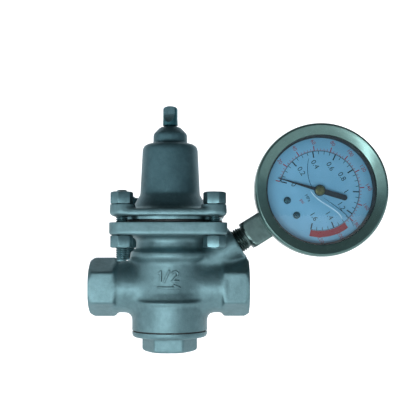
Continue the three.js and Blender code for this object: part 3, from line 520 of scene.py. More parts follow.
class Grid:
    """A box of points where fields are sampled, and the mesh of a field's zero surface."""

    def __init__(self, low, high, step):
        self.low, self.step = np.array(low, float), step
        axes = [np.arange(a, b + step, step, dtype=np.float32) for a, b in zip(low, high)]
        self.x, self.y, self.z = np.meshgrid(*axes, indexing="ij", sparse=True)

    def turned(self, profile):
        """A profile of (r, z) points from axis to axis, swept round Z."""
        past_axis = [(-30.0 if r == 0 else r, z) for r, z in rounded(profile)]
        radius = np.hypot(self.x, self.y)
        step = 0.1
        samples = np.arange(0, float(radius.max()) + 2 * step, step)[:, None]
        levels = self.z[0, 0][None, :].astype(float)
        table = outline_distance(past_axis, samples, levels).astype(np.float32)
        place = radius[:, :, 0] / step
        index = place.astype(int)
        share = (place - index)[:, :, None].astype(np.float32)
        return table[index] * (1 - share) + table[index + 1] * share

    def rod(self, start, direction, radius, low, high, edge=0.6):
        """A cylinder along any direction. radius may be a function of the distance along it."""
        ux, uy, uz = np.array(direction) / np.linalg.norm(direction)
        dx, dy, dz = self.x - start[0], self.y - start[1], self.z - start[2]
        along = dx * ux + dy * uy + dz * uz
        across = np.sqrt(np.maximum(dx * dx + dy * dy + dz * dz - along * along, 0))
        r = radius(along) if callable(radius) else radius
        return rounded_ends(across - r + edge, along, low, high, edge)

    def slab(self, half_x, half_y, corner, low, high, edge):
        """A flat plate with round corners and rounded edges."""
        side_x = np.abs(self.x) - half_x + corner
        side_y = np.abs(self.y) - half_y + corner
        side = np.minimum(np.maximum(side_x, side_y), 0) - corner + edge
        side = side + np.hypot(np.maximum(side_x, 0), np.maximum(side_y, 0))
        return rounded_ends(side, self.z, low, high, edge)

    def mesh(self, name, field, surface, soften=3):
        """The zero surface as a closed mesh object. Each soften pass rounds the edges a little more."""
        field = np.broadcast_to(field, np.broadcast(self.x, self.y, self.z).shape).astype(np.float32)
        for axis in list(range(3)) * soften:
            ahead = np.roll(field, -1, axis)
            behind = np.roll(field, 1, axis)
            edge = [slice(None)] * 3
            for index in (0, -1):
                edge[axis] = index
                ahead[tuple(edge)] = field[tuple(edge)]
                behind[tuple(edge)] = field[tuple(edge)]
            field = 0.5 * field + 0.25 * (ahead + behind)
        grid = openvdb.FloatGrid(5.0)
        grid.copyFromArray(np.ascontiguousarray(field))
        points, _, quads = grid.convertToPolygons(isovalue=0.0, adaptivity=0.0)
        return make_object(name, points * self.step + self.low, quads, surface)


def combine(target, tools, operation="DIFFERENCE"):
    """Joins or cuts closed meshes. The tools are used up. Cut faces keep the tool's material."""
    for tool in tools:
        step = target.modifiers.new("step", "BOOLEAN")
        step.operation, step.object = operation, tool
        step.solver, step.material_mode = "MANIFOLD", "TRANSFER"
        bpy.context.view_layer.update()
        evaluated = target.evaluated_get(bpy.context.evaluated_depsgraph_get())
        mesh = bpy.data.meshes.new_from_object(evaluated)
        target.modifiers.clear()
        target.data = mesh
        bpy.data.objects.remove(tool)
    return target


def shift(x, y, z=0):
    return Matrix.Translation((x, y, z))


def rotate(angle, axis="Z"):
    return Matrix.Rotation(angle * DEG, 4, axis)


def axis_frame(direction, at=(0, 0, 0)):
    """A frame at a point, whose Z points along direction."""
    turn = Vector((0, 0, 1)).rotation_difference(Vector(direction)).to_matrix().to_4x4()
    return shift(*at) @ turn


def shade(piece, angle=32):
    """Smooth shading, with creases where faces meet at more than angle degrees."""
    piece.data.polygons.foreach_set("use_smooth", np.ones(len(piece.data.polygons), bool))
    piece.data.set_sharp_from_angle(angle=angle * DEG)


def show(piece, node, body="root", angle=32):
    """Shades a finished piece and hands it to the frame, in place of a CAD node if one is named."""
    shade(piece, angle)
    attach(piece, body)
    if node:
        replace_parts(piece, node)


bolt_places = [(f"{row}_{side}", x, y) for row, y in (("front", -BOLT_AT), ("rear", BOLT_AT))
               for side, x in (("left", -BOLT_AT), ("right", BOLT_AT))]
gauge_direction = (math.cos(GAUGE_TILT * DEG), 0, math.sin(GAUGE_TILT * DEG))
stem_face = (STEM_FACE[0], 0, STEM_FACE[1])


# ---- valve body
def hexagon_field(g, side, start, end):
    """A port's hexagonal prism, with flats towards +-Y and its outer corners turned back."""
    along = g.x * side
    radius = np.hypot(g.y, g.z)
    cone = (radius - (13.7 + (end - along) * 0.8)) * 0.78
    inner = (radius - (14.5 + (along - start) * 1.5)) * 0.6
    prism = smooth_cut(hexagon_width(g.y, g.z, 0.5) - PORT_FLATS / 2, cone, 0.4)
    ends = np.maximum(start - along, along - end - 1)
    return smooth_cut(smooth_cut(prism, inner, 0.8), ends, 0.7)


def body_casting():
    g = Grid((-44, -32, BODY_BOTTOM - 3), (44, 32, FLANGE_TOP + 3), CAST_STEP)
    field = g.turned([
        (0, BODY_BOTTOM - 2), (BARREL_R, BODY_BOTTOM - 2), (BARREL_R - 0.1, -9.2, 1.5),
        (BARREL_R + 0.45, -8.0, 0.6), (BARREL_R + 0.45, -7.0, 0.6), (18.8, -6.3, 0.4),
        (WAIST_R + 0.25, -2.6, 3.0), (WAIST_R, 1.5, 3.0), (WAIST_R, 12.6, 2.2), (20.5, 15.2, 0.8),
        (20.5, 18.0, 0.8), (17.7, 19.9, 2.0), (17.4, 24.4, 3.0), (21.5, FLANGE_LOW + 1), (0, FLANGE_LOW + 1),
    ])
    for side in (-1, 1):
        neck = g.rod((0, 0, 0), (side, 0, 0), NECK_R, 8, 29, 0.5)
        hexagon = hexagon_field(g, side, 27.4, PORT_END)
        field = smooth_union(field, smooth_union(neck, hexagon, 1.6), 4.2)
    boss = g.rod(stem_face, gauge_direction, BOSS_R, -34, 0, 0.9)
    field = smooth_union(field, boss, 3.2)
    flange = g.slab(FLANGE_HALF, FLANGE_HALF, 7, FLANGE_LOW, FLANGE_TOP + 1.2, 1.1)
    return g.mesh("valve_body", smooth_union(field, flange, 1.8), CAST, 2)


def port_tool(side):
    """What is cut from a port: the threaded socket with its countersink, and everything past the face."""
    place = axis_frame((side, 0, 0))
    inner, pitch = PORT_END - SOCKET_DEPTH, 1.814
    rings = circles([(0, inner - 1), (6, inner - 1), (SOCKET_R - 0.6, inner)], 96)
    rings += thread_rings(SOCKET_R + 1.16, pitch, 1.1, inner + 0.6, PORT_END + 0.4, 96, 1.4, SOCKET_R)
    rings += circles([(SOCKET_R + 1.2, PORT_END + 0.6), (0, PORT_END + 0.6)], 96)
    socket = make_object("tool", *loft(rings), FACED, place)
    mouth = turned("tool", [
        (0, PORT_END - 1.7), (SOCKET_R - 0.2, PORT_END - 1.7), (SOCKET_R + 1.6, PORT_END),
        (SOCKET_R + 2.6, PORT_END + 1), (0, PORT_END + 1),
    ], FACED, place)
    face = rod_tool(20, PORT_END, PORT_END + 6, FACED, place, 96)
    return combine(socket, [mouth, face], "UNION")


def flow_duct(side, outer, inner):
    start = Vector((side * (PORT_END - SOCKET_DEPTH + 1), 0, outer))
    run = Vector((side * 6, 0, inner)) - start
    return rod_tool(6.5, 0, run.length, CAST, axis_frame(run, start))


def raised_marks():
    """A generic size mark and the flow arrow, standing out of the waist."""
    g = Grid((-8, -WAIST_R - 2, -3), (8, -WAIST_R + 4, 11), 0.16)

    def stroke(points, width):
        flat = None
        for (x0, z0), (x1, z1) in zip(points, points[1:]):
            dx, dz = x1 - x0, z1 - z0
            along = np.clip(((g.x - x0) * dx + (g.z - z0) * dz) / (dx * dx + dz * dz), 0, 1)
            near = np.hypot(g.x - x0 - along * dx, g.z - z0 - along * dz) - width
            flat = near if flat is None else np.minimum(flat, near)
        return flat

    def arc(x, z, r, start, end):
        return [(x + r * math.cos(a * DEG), z + r * math.sin(a * DEG)) for a in np.linspace(start, end, 9)]

    one = [(-5.0, 7.3), (-4.0, 8.5), (-4.0, 3.6)]
    slash = [(-2.2, 3.0), (0.3, 8.8)]
    two = arc(3.3, 7.0, 1.4, 165, -35) + [(1.9, 3.6), (4.9, 3.6)]
    arrow = [(-5.6, 0.3), (5.6, 0.3)]
    barb = [(2.8, 1.5), (5.6, 0.3)]
    drawn = [stroke(line, 0.5) for line in (one, slash, two, arrow, barb)]
    flat = drawn[0]
    for other in drawn[1:]:
        flat = np.minimum(flat, other)
    height = np.hypot(g.x, g.y) - (WAIST_R + 0.85)
    lettering = smooth_cut(flat, height, 0.3)
    lettering = np.maximum(lettering, (WAIST_R - 1) - np.hypot(g.x, g.y))
    return g.mesh("tool", lettering, CAST, 1)


def loose_parts(mesh_object):
    """Splits an object of several closed shells into one object for each."""
    bpy.context.view_layer.objects.active = mesh_object
    bpy.ops.object.select_all(action="DESELECT")
    mesh_object.select_set(True)
    before = set(bpy.data.objects)
    bpy.ops.object.mode_set(mode="EDIT")
    bpy.ops.mesh.select_all(action="SELECT")
    bpy.ops.mesh.separate(type="LOOSE")
    bpy.ops.object.mode_set(mode="OBJECT")
    return [mesh_object] + [o for o in bpy.data.objects if o not in before]


def make_body():
    body = body_casting()
    combine(body, loose_parts(raised_marks()), "UNION")
    gauge_port = axis_frame(gauge_direction, stem_face)
    tools = [
        rod_tool(14.6, BODY_BOTTOM - 8, -13),
        rod_tool(13.2, -13.5, -4.6, CAST),
        rod_tool(13.2, 3, 14, CAST),
        rod_tool(9, -5, 4),
        flow_duct(-1, -1, -10),
        flow_duct(1, 1, 8.6),
        rod_tool(4, 13, 27),
        rod_tool(6.1, 16.5, 18.7),
        turned("tool", [(0, 25.5), (15.5, 25.5, 0.8), (17.5, 27.1), (17.5, FLANGE_TOP + 2),
                        (0, FLANGE_TOP + 2)], FACED),
        port_tool(-1),
        port_tool(1),
        rod_tool(6.6, -11, 3, FACED, gauge_port),
        rod_tool(2, -26, -10, FACED, gauge_port),
        rod_tool(25, BODY_BOTTOM - 6, BODY_BOTTOM, segments=96),
        rod_tool(50, FLANGE_TOP, FLANGE_TOP + 4, segments=96),
    ]
    tools += [rod_tool(BOLT_HOLE_R, FLANGE_LOW - 2, FLANGE_TOP + 2, FACED, shift(x, y), 32)
              for _, x, y in bolt_places]
    combine(body, tools)
    show(body, "body")


# ---- bottom plug
def make_plug():
    collar_low, collar_top, collar_r = -25.6, BODY_BOTTOM - 0.75, BARREL_R - 0.1
    low, top = plug_low.z, plug_high.z
    g = Grid((-21, -21, low - 2), (21, 21, collar_top + 3), 0.34)
    collar = g.turned([
        (0, collar_low), (collar_r, collar_low, 1.5), (collar_r, collar_top + 1), (0, collar_top + 1),
    ])
    cone = (np.hypot(g.x, g.y) - (12.9 + (g.z - low) * 1.7)) * 0.5
    hexagon = smooth_cut(hexagon_width(g.y, g.x, 0.6) - PLUG_FLATS / 2, cone, 0.5)
    hexagon = smooth_cut(hexagon, np.maximum(low - g.z, g.z - collar_low - 1), 0.5)
    plug = g.mesh("hex_plug", smooth_union(collar, hexagon, 0.9), CAST, 2)
    combine(plug, [rod_tool(25, collar_top, collar_top + 6, segments=96)])
    rings = circles([(0, collar_top - 1), (13.3, collar_top - 1), (13.3, collar_top + 1.6)], 96)
    rings += thread_rings(14.5, 1.5, 0.85, collar_top + 2.2, top - 0.1, 96, 1.0)
    rings += circles([(13.2, top), (0, top)], 96)
    combine(plug, [make_object("tool", *loft(rings), FACED)], "UNION")
    combine(plug, [turned("tool", [(0, -29.4), (10, -29.4, 0.6), (10, top + 1), (0, top + 1)], FACED)])
    show(plug, "bottom_plug")
    seal_low, seal_high = collar_top + 0.05, BODY_BOTTOM - 0.05
    gasket = turned("plug_seal", [
        (14.9, seal_low), (18.8, seal_low, 0.15), (18.8, seal_high, 0.15), (14.9, seal_high),
        (14.9, seal_low),
    ], RUBBER)
    show(gasket, "plug_gasket")


# ---- bonnet
def make_bonnet():
    g = Grid((-31, -31, COVER_LOW - 2), (31, 31, NOSE_TOP + 2), 0.42)
    field = g.turned([
        (0, COVER_LOW + 0.2), (20.6, COVER_LOW + 0.2), (20.4, COVER_TOP + 0.4), (18.6, 42.6, 1.5),
        (15.6, 47.9, 3.0), (14.5, 71.0), (14.1, 72.9, 1.5), (12.4, 74.2, 1.5), (8.9, 74.7, 0.6),
        (8.9, 79.7, 1.6), (5.6, 83.2, 1.0), (4.6, NOSE_TOP), (0, NOSE_TOP),
    ])
    plate = g.slab(COVER_HALF, COVER_HALF, 6.6, COVER_LOW, COVER_TOP, 1.0)
    field = smooth_union(field, plate, 2.0)
    for _, x, y in bolt_places:
        pad = g.rod((x * 0.985, y * 0.985, 0), (0, 0, 1), lambda z: 6.2 + (PAD_TOP - z) * 0.05,
                    COVER_LOW + 1, PAD_TOP + 1.2, 0.5)
        field = smooth_union(field, pad, 1.0)
    bonnet = g.mesh("spring_bonnet", field, CAST_PAINTED_SHADE)
    land_low = bonnet_low.z
    land = [(0, land_low), (27.4, land_low, 0.2), (27.4, COVER_LOW + 1), (0, COVER_LOW + 1)]
    combine(bonnet, [turned("tool", land, FACED)], "UNION")
    tools = [
        turned("tool", [
            (0, land_low - 1), (17.5, land_low - 1), (17.5, 39.4, 0.8), (11.8, 46, 0.8), (11.8, 69.2, 0.6),
            (10.2, 70.4, 0.3), (0, 70.4),
        ], CAST_PAINTED_SHADE),
        rod_tool(4.1, 69, NOSE_TOP + 2),
        turned("tool", [
            (0, 82.9), (4.1, 82.9), (4.9, NOSE_TOP + 0.2), (4.9, NOSE_TOP + 2), (0, NOSE_TOP + 2),
        ], FACED),
        rod_tool(1, 0, 10, FACED, axis_frame((0, 1, 0), (0, 9, 56)), 24),
    ]
    for _, x, y in bolt_places:
        tools.append(rod_tool(BOLT_HOLE_R, COVER_LOW - 2, PAD_TOP + 3, FACED, shift(x, y), 32))
        tools.append(rod_tool(8.2, PAD_TOP, PAD_TOP + 3, FACED, shift(x, y), 48))
    combine(bonnet, tools)
    # The square cover keeps the body's cast steel. Only the tower above it gets the darker copy, a painted
    # shade.
    materials = bonnet.data.materials
    materials.append(CAST)
    light, dark = len(materials) - 1, materials.find(CAST_PAINTED_SHADE.name)
    for face in bonnet.data.polygons:
        if face.material_index == dark and face.center.z < (PAD_TOP - 0.3) * MM:
            face.material_index = light
    show(bonnet, "bonnet")


# ---- studs, nuts and the adjusting screw
def make_fasteners():
    for place, x, y in bolt_places:
        low, high = span("stud_" + place)
        stud = threaded_rod("stud_rod_" + place, STUD_R, 1.0, low.z, high.z - 0.15, THREAD_STEEL,
                            shift(x, y), 40, 0.8)
        show(stud, "stud_" + place, angle=40)
        for level in ("upper", "lower"):
            node = f"{level}_nut_{place}"
            nut_low, nut_high = span(node)
            middle = shift(x, y, (nut_low.z + nut_high.z) / 2) @ rotate(18 if x < 0 else -9)
            nut = hex_nut("hex_" + node, NUT_FLATS, NUT_HEIGHT, STUD_R + 0.08, NUT_STEEL, middle)
            show(nut, node, angle=24)


def make_adjusting_screw():
    """A threaded spindle with a domed end, milled flat on two sides to make its tang."""
    r, pitch, tang_r = 4.0, 1.25, 3.85
    thread_end, flat_middle = 84.2, 90.7
    tip, top = screw_low.z, screw_high.z
    rings = circles([(0, tip), (0.8, tip + 0.25), (3.0, tip + 1.7), (3.3, tip + 2.4)], 64)
    rings += thread_rings(r, pitch, 0.72, tip + 2.6, thread_end, 64, 1.0)
    dome = [(r - 0.35, thread_end + 0.1), (r - 0.02, thread_end + 0.3), (r - 0.08, thread_end + 2.6)]
    dome.append((tang_r, 87.6))
    for a in np.linspace(0, math.pi / 2, 9):
        dome.append((1.2 + (tang_r - 1.2) * math.cos(a), top - 1.9 + 1.7 * math.sin(a)))
    dome += [(0.6, top - 0.04), (0, top)]
    screw = make_object("adjusting_spindle", *loft(rings + circles(dome, 64)), SCREW_STEEL)
    cutter_r, half_tang, turn = 9.0, 2.5, rotate(-12)
    tools = []
    for side in (-1, 1):
        at = (0, side * (half_tang + cutter_r), flat_middle)
        above = turn @ shift(*at) @ rotate(45)
        tools.append(rod_tool(cutter_r, -6, 6, FACED, turn @ axis_frame((1, 0, 0), at), 128))
        tools.append(rod_tool(cutter_r * 1.4142, 0, 20, FACED, above, 4))
    combine(screw, tools)
    show(screw, "adjusting_screw", "screw", 30)


# ---- diaphragm
def make_diaphragm():
    """The rubber sheet, its rim clamped, made as one piece that is given to no body and does not bend."""
    low, high, outer = diaphragm_low.z, diaphragm_high.z, diaphragm_high.x
    middle = (low + high) / 2
    hole, held, free = 3.05, 15.7, 17.3
    bends = list(np.linspace(held, free, 7))
    sheet = turned("rubber_diaphragm", [
        (hole, low), *((r, low) for r in bends), (outer, low, 0.3), (outer, high, 0.3),
        *((r, high) for r in reversed(bends)), (hole, high), (hole, middle), (hole, low),
    ], RUBBER, segments=128)
    shade(sheet)
    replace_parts(sheet, "diaphragm")
    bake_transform(sheet)
    # Blend shares along one line, by radius round the sheet's axis. Nothing uses them, so the sheet does not
    # bend.
    points = np.array([v.co for v in sheet.data.vertices]) / MM
    share = np.clip((free - np.hypot(points[:, 0], points[:, 1])) / (free - held), 0, 1)
    share = (share * share * (3 - 2 * share)).astype(np.float32)


# ---- springs
def coil(name, r, wire, low, high, turns, closed):
    """A compression spring with closed ends, ground flat. closed is how many turns lie shut at each end."""
    sides, steps = 14, 40
    start, end = low + wire * 0.35, high - wire * 0.35
    shut = closed * wire * 1.02
    turn = np.linspace(0, turns, int(turns * steps) + 1)
    rise = end - start
    heights = start + np.interp(turn, (0, closed, turns - closed, turns), (0, shut, rise - shut, rise))
    rings = [[(r, 0.0, heights[0])]]
    for t, z in zip(turn * 2 * math.pi, heights):
        ring = []
        for a in np.arange(sides) * 2 * math.pi / sides:
            out = r + wire / 2 * math.cos(a)
            ground = min(max(z + wire / 2 * math.sin(a), low), high)
            ring.append((out * math.cos(t), out * math.sin(t), ground))
        rings.append(ring)
    rings.append([(r * math.cos(t), r * math.sin(t), heights[-1])])
    return make_object(name, *loft(rings), SPRING_STEEL)


def make_springs():
    for name, node, body, slide, travel, r, wire, turns in (
        ("pressure_coil", "regulating_spring", "stem_set", "button_slide", BUTTON_TRAVEL, 9.1, 2.6, 7),
        ("return_coil", "return_spring", "root", "stem_slide", STEM_TRAVEL, 7.8, 1.4, 4.6),
    ):
        low, high = (v.z for v in span(node))
        spring = coil(name, r, wire, low, high, turns, 0.9)
        show(spring, node, body, 50)
        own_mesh(spring)


# ---- pressure gauge
gauge_centre = Vector(joint("pointer_turn")["pos_m"]) / MM
gauge_frame = shift(*gauge_centre) @ rotate(90 - GAUGE_TILT, "Y")
# Turned gauge pieces are drawn round Z with the front at low z, and laid so that Z points to the back.
gauge_axis = gauge_frame @ rotate(-90, "X")
GAUGE_REACH = (gauge_centre - Vector(stem_face)).length


def at_angle(r, angle):
    """X and Z of a dial point, with angles counter-clockwise from X as the dial is seen."""
    return r * math.cos(angle * DEG), r * math.sin(angle * DEG)


def on_dial(x, z):
    """The frame of a turned piece that stands on a dial point."""
    return gauge_axis @ shift(x, -z)


def make_stem():
    pitch, segments, half = 1.337, 96, 7.3
    start = -GAUGE_REACH - 10.4
    square_start, square_end = -GAUGE_REACH + 5.6, -28.5
    rings = circles([(0, start), (5.2, start)], segments)
    rings += thread_rings(6.5, pitch, 0.8, start + 0.1, square_start - 1.0, segments, 1.2)
    rings += circles([(5.6, square_start - 0.6), (5.6, square_start)], segments)
    turned_down = [(6.9, 0.05), (7.2, 0.15), (8.6, 1.0), (9.4, 1.6), (9.9, 2.3), (12, 3.2)]
    square = [(limit, square_start + up) for limit, up in turned_down]
    square += [(12, z) for z in np.linspace(square_start + 4, square_end, 8)]
    for limit, z in square:
        ring = []
        for a in np.arange(segments) * 2 * math.pi / segments:
            r = min(polygon_radius(a + 45 * DEG, 4, 2 * half, 26), limit)
            ring.append((r * math.cos(a), r * math.sin(a), z))
        rings.append(ring)
    rings += circles([(0, square_end)], segments)
    stem = make_object("gauge_stem", *loft(rings), STEM_STEEL, gauge_frame)
    show(stem, "gauge_socket", angle=30)


def make_case():
    back, inside = 11.5, CASE_R - 1
    shell = turned("gauge_shell", [
        (0, back - 1), (29, back - 1, 1.5), (inside, back - 3, 0.5), (inside, -12.6), (CASE_R, -12.6),
        (CASE_R, back - 3.4, 1.8), (29.4, back - 0.3, 2.0), (22, back - 0.3, 0.8), (20.5, back, 0.8),
        (0, back),
    ], CASE_STEEL, gauge_axis, 160)
    top = gauge_frame @ shift(0, 2)
    combine(shell, [
        block_tool(7.55, 7.55, -34, -26, CASE_STEEL, gauge_frame),
        rod_tool(3.1, 28, 34, CASE_STEEL, top, 32),
    ])
    show(shell, "gauge_case")
    plug = turned("fill_stopper", [
        (0, 29.4), (2.9, 29.4, 0.3), (2.9, 32.25), (4.3, 32.25, 0.2), (4.3, 33.2, 0.5), (3.2, 33.6, 0.4),
        (2.6, 33.3, 0.2), (0, 33.3),
    ], RUBBER, top, 48)
    show(plug, "fill_plug")


def make_bezel():
    front, back, step, r = -17.4, -7.8, -14.9, BEZEL_R
    window_r, inside = 28.0, CASE_R + 0.3
    ring = turned("bezel_ring", [
        (inside, back), (inside, step), (window_r + 0.1, step, 0.05), (window_r, -15.5, 0.25),
        (window_r + 3.9, front + 0.35, 0.6), (r - 1.3, front - 0.02, 0.5), (r - 0.4, front + 0.7, 0.5),
        (r, front + 2.0, 0.7), (r, back - 2.6, 0.4), (r - 0.35, back - 2.2, 0.3),
        (r - 0.35, back - 1.5, 0.3), (r, back - 1.1, 0.4), (r - 0.2, back, 0.3), (inside, back),
    ], BEZEL_STEEL, gauge_axis, 192)
    show(ring, "gauge_bezel", angle=40)
    window = turned("gauge_pane", [(0, -14.75), (31.9, -14.75, 0.2), (31.9, -12.75, 0.2), (0, -12.75)],
                    GLASS, gauge_axis, 128)
    show(window, "gauge_window")
    seal = turned("pane_seal", [
        (28.3, -12.65), (30.8, -12.65), (30.8, -9.1), (29.6, -9.1, 0.3), (27.1, -9.4, 0.4),
        (27.1, -12.4, 0.4), (28.3, -12.65),
    ], RUBBER, gauge_axis, 160)
    show(seal, "window_seal")


# ---- dial

def flat_pieces(name, outlines, surface, y, thickness=0.03):
    """One object of thin plates in the dial plane, from outlines of (x, z) points, anticlockwise."""
    points, faces = [], []
    for outline in outlines:
        start, n = len(points), len(outline)
        points += [(x, y, z) for x, z in outline] + [(x, y + thickness, z) for x, z in outline]
        faces.append(list(range(start, start + n)))
        faces.append(list(range(start + 2 * n - 1, start + n - 1, -1)))
        for i in range(n):
            j = (i + 1) % n
            faces.append([start + j, start + i, start + n + i, start + n + j])
    return make_object(name, points, faces, surface, gauge_frame)


def tick(r0, r1, angle, width):
    (x0, z0), (x1, z1) = at_angle(r0, angle), at_angle(r1, angle)
    across = np.array((-(z1 - z0), x1 - x0)) / (r1 - r0) * width / 2
    return [(x0 - across[0], z0 - across[1]), (x1 - across[0], z1 - across[1]),
            (x1 + across[0], z1 + across[1]), (x0 + across[0], z0 + across[1])]


def arc_band(r0, r1, start, end):
    """A band between two radii, cut into short plates."""
    plates = []
    steps = max(1, int(abs(end - start) / 3))
    for k in range(steps):
        a, b = (start + (end - start) * (k + i) / steps for i in (0, 1))
        plates.append([at_angle(r0, b), at_angle(r1, b), at_angle(r1, a), at_angle(r0, a)])
    return plates


def lettering(name, words, surface):
    """Words printed on the dial, each (text, x, z, height), joined into one mesh."""
    points, faces = [], []
    for text, x, z, height in words:
        curve = bpy.data.curves.new("word", "FONT")
        curve.body, curve.size = text, height * 1.38 * MM
        curve.align_x, curve.align_y = "CENTER", "CENTER"
        curve.extrude = INK / 4 * MM
        curve.resolution_u = 3
        word = bpy.data.objects.new("word", curve)
        bpy.context.scene.collection.objects.link(word)
        bpy.context.view_layer.update()
        mesh = bpy.data.meshes.new_from_object(word.evaluated_get(bpy.context.evaluated_depsgraph_get()))
        mesh.transform(Matrix.Translation(Vector((x, DIAL_FACE - INK / 2, z)) * MM) @ rotate(90, "X"))
        start = len(points)
        points += [tuple(v.co / MM) for v in mesh.vertices]
        faces += [[start + i for i in p.vertices] for p in mesh.polygons]
        bpy.data.objects.remove(word)
        bpy.data.meshes.remove(mesh)
    return make_object(name, points, faces, surface, gauge_frame)


def pressure_angle(value):
    return ZERO_ANGLE - FULL_TURN * value / FULL_PRESSURE


def make_dial():
    back = DIAL_FACE + 0.6
    plate = turned("dial_plate", [
        (0, DIAL_FACE), (10, DIAL_FACE), (20, DIAL_FACE), (DIAL_R, DIAL_FACE, 0.15), (DIAL_R, back, 0.15),
        (0, back),
    ], DIAL_ENAMEL, gauge_axis, 128)
    holes = [(1.1, x, z) for x, z in DIAL_SCREWS] + [(1.7, 0, 0)]
    combine(plate, [rod_tool(r, DIAL_FACE - 1, DIAL_FACE + 2, DIAL_ENAMEL, on_dial(x, z), 32)
                    for r, x, z in holes])
    show(plate, "gauge_dial")

    last_angle = ZERO_ANGLE - FULL_TURN
    black = arc_band(20.35, 20.6, ZERO_ANGLE, last_angle)
    numbers = []
    for i in range(MPA_STEPS + 1):
        value = FULL_PRESSURE * i / MPA_STEPS
        major = i % 4 == 0
        inner, width = (17.2, 0.62) if major else (18.8, 0.28)
        black.append(tick(inner, 20.5, pressure_angle(value), width))
        if major:
            x, z = at_angle(13.7, pressure_angle(value))
            numbers.append((f"{value:.1f}".rstrip("0").rstrip(".") or "0", x, z, 2.8))
    numbers.append(("MPa", 0, -7.2, 1.7))

    red = arc_band(20.75, 20.9, ZERO_ANGLE, last_angle)
    red += arc_band(20.9, 24.0, pressure_angle(RED_FROM), last_angle)
    psi_numbers = []
    for psi in range(0, int(FULL_PRESSURE * PSI_PER_MPA) + 1, 4):
        angle = pressure_angle(psi / PSI_PER_MPA)
        major = psi % 20 == 0
        if psi / PSI_PER_MPA < RED_FROM:
            red.append(tick(20.8, 23.2 if major else 21.9, angle, 0.5 if major else 0.2))
        if major and psi:
            psi_numbers.append((str(psi), *at_angle(25.3, angle), 2.0))
    psi_numbers.append(("psi", 0, -10.4, 1.7))

    printed = (
        flat_pieces("dial_print_black", black, BLACK_INK, DIAL_FACE - INK),
        flat_pieces("dial_print_red", red, RED_INK, DIAL_FACE - INK),
        lettering("dial_numbers_black", numbers, BLACK_INK),
        lettering("dial_numbers_red", psi_numbers, RED_INK),
    )
    for piece in printed:
        show(piece, None)


def make_dial_hardware():
    for i, (x, z) in enumerate(DIAL_SCREWS):
        head = turned(f"dial_screw_head_{i + 1}", [
            (0, DIAL_FACE - 1.1), (1.2, DIAL_FACE - 1.08, 0.5), (1.85, DIAL_FACE - 0.5, 0.3),
            (1.85, DIAL_FACE - 0.05), (1.0, DIAL_FACE - 0.05), (1.0, -5.4, 0.1), (0, -5.4),
        ], CASE_STEEL, on_dial(x, z), 48)
        place = on_dial(x, z) @ rotate(25 + 40 * i)
        combine(head, [block_tool(2.4, 0.2, DIAL_FACE - 2, DIAL_FACE - 0.7, CASE_STEEL, place)])
        show(head, f"dial_screw_{i + 1}")
    low, high = DIAL_FACE - 2.4, DIAL_FACE + 1.4
    pin = turned("zero_pin", [(0, low), (0.45, low, 0.15), (0.45, high, 0.15), (0, high)], CASE_STEEL,
                 on_dial(*at_angle(20.8, ZERO_ANGLE - 1)), 24)
    show(pin, "stop_pin")


def make_liquid_edge():
    """The rim of the filling liquid where it meets the window, as thin threads: the middle one a painted
    highlight in pale opaque paint, the others clear with a darker tint for painted shade.
    """
    sides, steps, depth = 12, 48, -12.2
    for name, line, width, surface in (
        ("liquid_edge_high", ((-5.7, 16.6), (-6.6, 10.1), (-5.6, 4.2), (-3.9, 1.3)), 0.16, LIQUID_PAINTED_SHADE),
        ("liquid_edge_lit", ((-5.2, 0), (-1.8, -4.4), (3.9, -8), (8, -11.1), (10.9, -14.8)), 0.32,
         LIQUID_PAINTED_HIGHLIGHT),
        ("liquid_edge_low", ((1.3, -3.9), (6.5, -7), (11.7, -12.2), (14.8, -14.3), (16.8, -18.9)), 0.18,
         LIQUID_PAINTED_SHADE),
    ):
        curve = [np.poly1d(np.polyfit(np.linspace(0, 1, len(line)), along, 3)) for along in zip(*line)]
        rings = []
        for t in np.linspace(0, 1, steps + 1):
            x, z = (c(t) for c in curve)
            dx, dz = (c.deriv()(t) for c in curve)
            r = width * math.sqrt(max(0.0, 1 - (2 * t - 1) ** 4))
            out_x, out_z = np.array((-dz, dx)) / math.hypot(dx, dz) * r
            turns = np.arange(sides) * 2 * math.pi / sides if r >= 0.01 else [math.pi / 2]
            rings.append([(x + out_x * math.cos(a), depth + 0.5 * r * math.sin(a), z + out_z * math.cos(a))
                          for a in turns])
        thread = make_object(name, *loft(rings), surface, shift(*gauge_centre))
        show(thread, None, angle=60)


def make_pointer():
    front, back = -10.3, -9.8
    tip, tail, hub, tail_r = 22.5, -14.6, 2.9, 1.4
    outline = [(tip, -0.14), (tip + 0.1, 0), (tip, 0.14), (4, 0.75)]
    outline += [at_angle(hub, a) for a in np.linspace(16, 152, 16)]
    outline += [(tail + tail_r + x, z) for x, z in (at_angle(tail_r, a) for a in np.linspace(90, 270, 14))]
    outline += [at_angle(hub, a) for a in np.linspace(208, 344, 16)]
    outline += [(4, -0.75)]
    rings = [
        [(0.0, front, 0.0)], [(x * 0.995, front, z * 0.93) for x, z in outline],
        [(x, front + 0.08, z) for x, z in outline], [(x, back, z) for x, z in outline], [(0.0, back, 0.0)],
    ]
    pointer = make_object("needle", *loft(rings), BLACK_PAINT, gauge_frame @ rotate(-POINTER_ANGLE, "Y"))
    show(pointer, "pointer", "pointer_set", 25)
    cap = turned("hub_cap", [
        (0, -12.1), (1.75, -12.1, 0.25), (2.4, -11.5, 0.3), (2.5, -10.35), (0, -10.35),
    ], BRASS, gauge_axis, 64)
    show(cap, "pointer_cap", "pointer_set", 30)


# ---- CAD nodes that stay, inside the valve and behind the dial
def finish_inner_nodes():
    replaced = {n for o in bpy.context.scene.objects for n in o.get("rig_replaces", [])}
    finishes = {
        "bright_steel": INNER_STEEL, "spring_steel": SPRING_STEEL, "rubber": RUBBER, "brass": BRASS,
        "gauge_steel": CASE_STEEL,
    }
    slot_of = {s["node"]: s["material_slot"] for s in frame["record"]["subparts"]}
    for name, node in frame["nodes"].items():
        if name not in replaced:
            node.data.materials.clear()
            node.data.materials.append(finishes[slot_of[name]])


